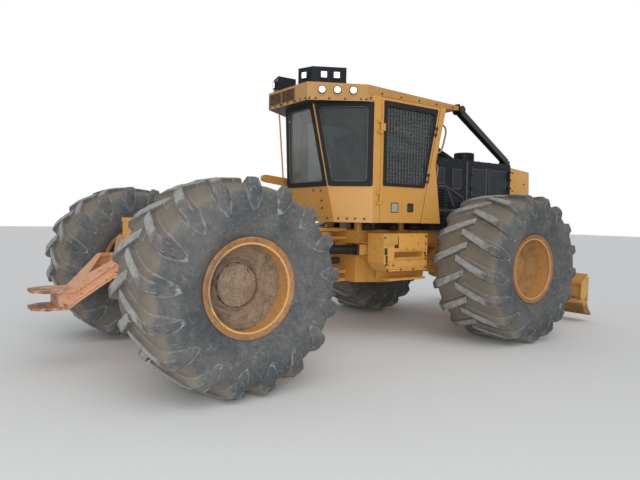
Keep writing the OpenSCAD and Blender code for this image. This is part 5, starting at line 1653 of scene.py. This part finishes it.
def startPedestal(s):
    x, y, z = s["place"]
    pedestal = startBlock("seatPedestal", s["size"], fromPivot(x, y, z))
    startEdit(pedestal)
    for grow, up in s["steps"]:
        top = max(v.co.z for v in bmesh.from_edit_mesh(pedestal.data).verts)
        pick(pedestal, "FACE", lambda p, f: f.normal.z > 0.9 and p.z > top - 0.001)
        bpy.ops.mesh.extrude_region_move(TRANSFORM_OT_translate={"value": (0, 0, up)})
        bpy.ops.transform.resize(value=(grow, grow, 1), center_override=fromPivot(x, y, top))
    endEdit()
    roundEdges(pedestal, 0.008)
    return pedestal

def startShell(s):
    shell = startBlock("seatShellBack", s["size"], (0, 0, 0))
    startEdit(shell)
    pick(shell, "FACE", lambda p, f: f.normal.x < -0.9)
    bpy.ops.mesh.inset(thickness=0.04, depth=0)
    bpy.ops.mesh.extrude_region_move(TRANSFORM_OT_translate={"value": (-0.018, 0, 0)})
    endEdit()
    roundEdges(shell, 0.010)
    shell.matrix_world = leaning(s["place"], s["lean"])
    settle(shell)
    return shell

def makeSeat(s):
    body = bodyOf("seat")
    for name, form in s["pads"].items():
        pad = startCushion(name, form)
        complete(pad, body, "cloth", 60)
        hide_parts("seat")
    parts = [startPedestal(s["pedestal"]), startShell(s["shell"])]
    x, y, z = s["arm"]["place"]
    for side in (-1, 1):
        parts.append(roundBlock("arm", s["arm"]["size"], fromPivot(x, side * y, z), 0.020, 3))
        ends = [fromPivot(xe, side * ye, ze) for xe, ye, ze in s["stay"]]
        parts.append(startRod("stay", *ends, 0.014, 14, 0.003))
    completeAll(parts, "seatFrame", body, "seatShell", 40)
    print("seat: three cushions on a frame")

def makeColumn(s):
    # steering column and console ahead of the seat
    column = startRod("column", fromPivot(*s["foot"]), fromPivot(*s["top"]), s["radius"], 18, 0.006, 2)
    clearSelection()
    lean = turned(s["wheelLean"], "Y")
    middle = fromPivot(*s["wheel"])
    bpy.ops.mesh.primitive_torus_add(major_radius=s["wheelRadius"], minor_radius=s["wheelRim"],
                                     major_segments=40, minor_segments=10,
                                     location=middle, rotation=lean.to_euler())
    wheel = bpy.context.object
    settle(wheel)
    reach = s["spokeReach"]
    rims = [middle + lean @ Vector((reach * math.cos(a), reach * math.sin(a), 0)) for a in s["spokes"]]
    spokes = [startRod("spoke", fromPivot(*s["hub"]), rim, 0.009, 10, 0.002) for rim in rims]
    console = startBlock("console", s["console"]["size"], fromPivot(*s["console"]["place"]))
    startEdit(console)
    pick(console, "FACE", lambda p, f: f.normal.z > 0.9)
    bpy.ops.mesh.inset(thickness=0.03, depth=0.02)
    bpy.ops.transform.translate(value=(0.04, 0, 0.03))
    endEdit()
    roundEdges(console, 0.015)
    completeAll([column, wheel, console] + spokes, "steeringColumn", bodyOf("cab_floor"), "seatShell",
                40)

makeSeat(seatForm)
makeColumn(columnForm)
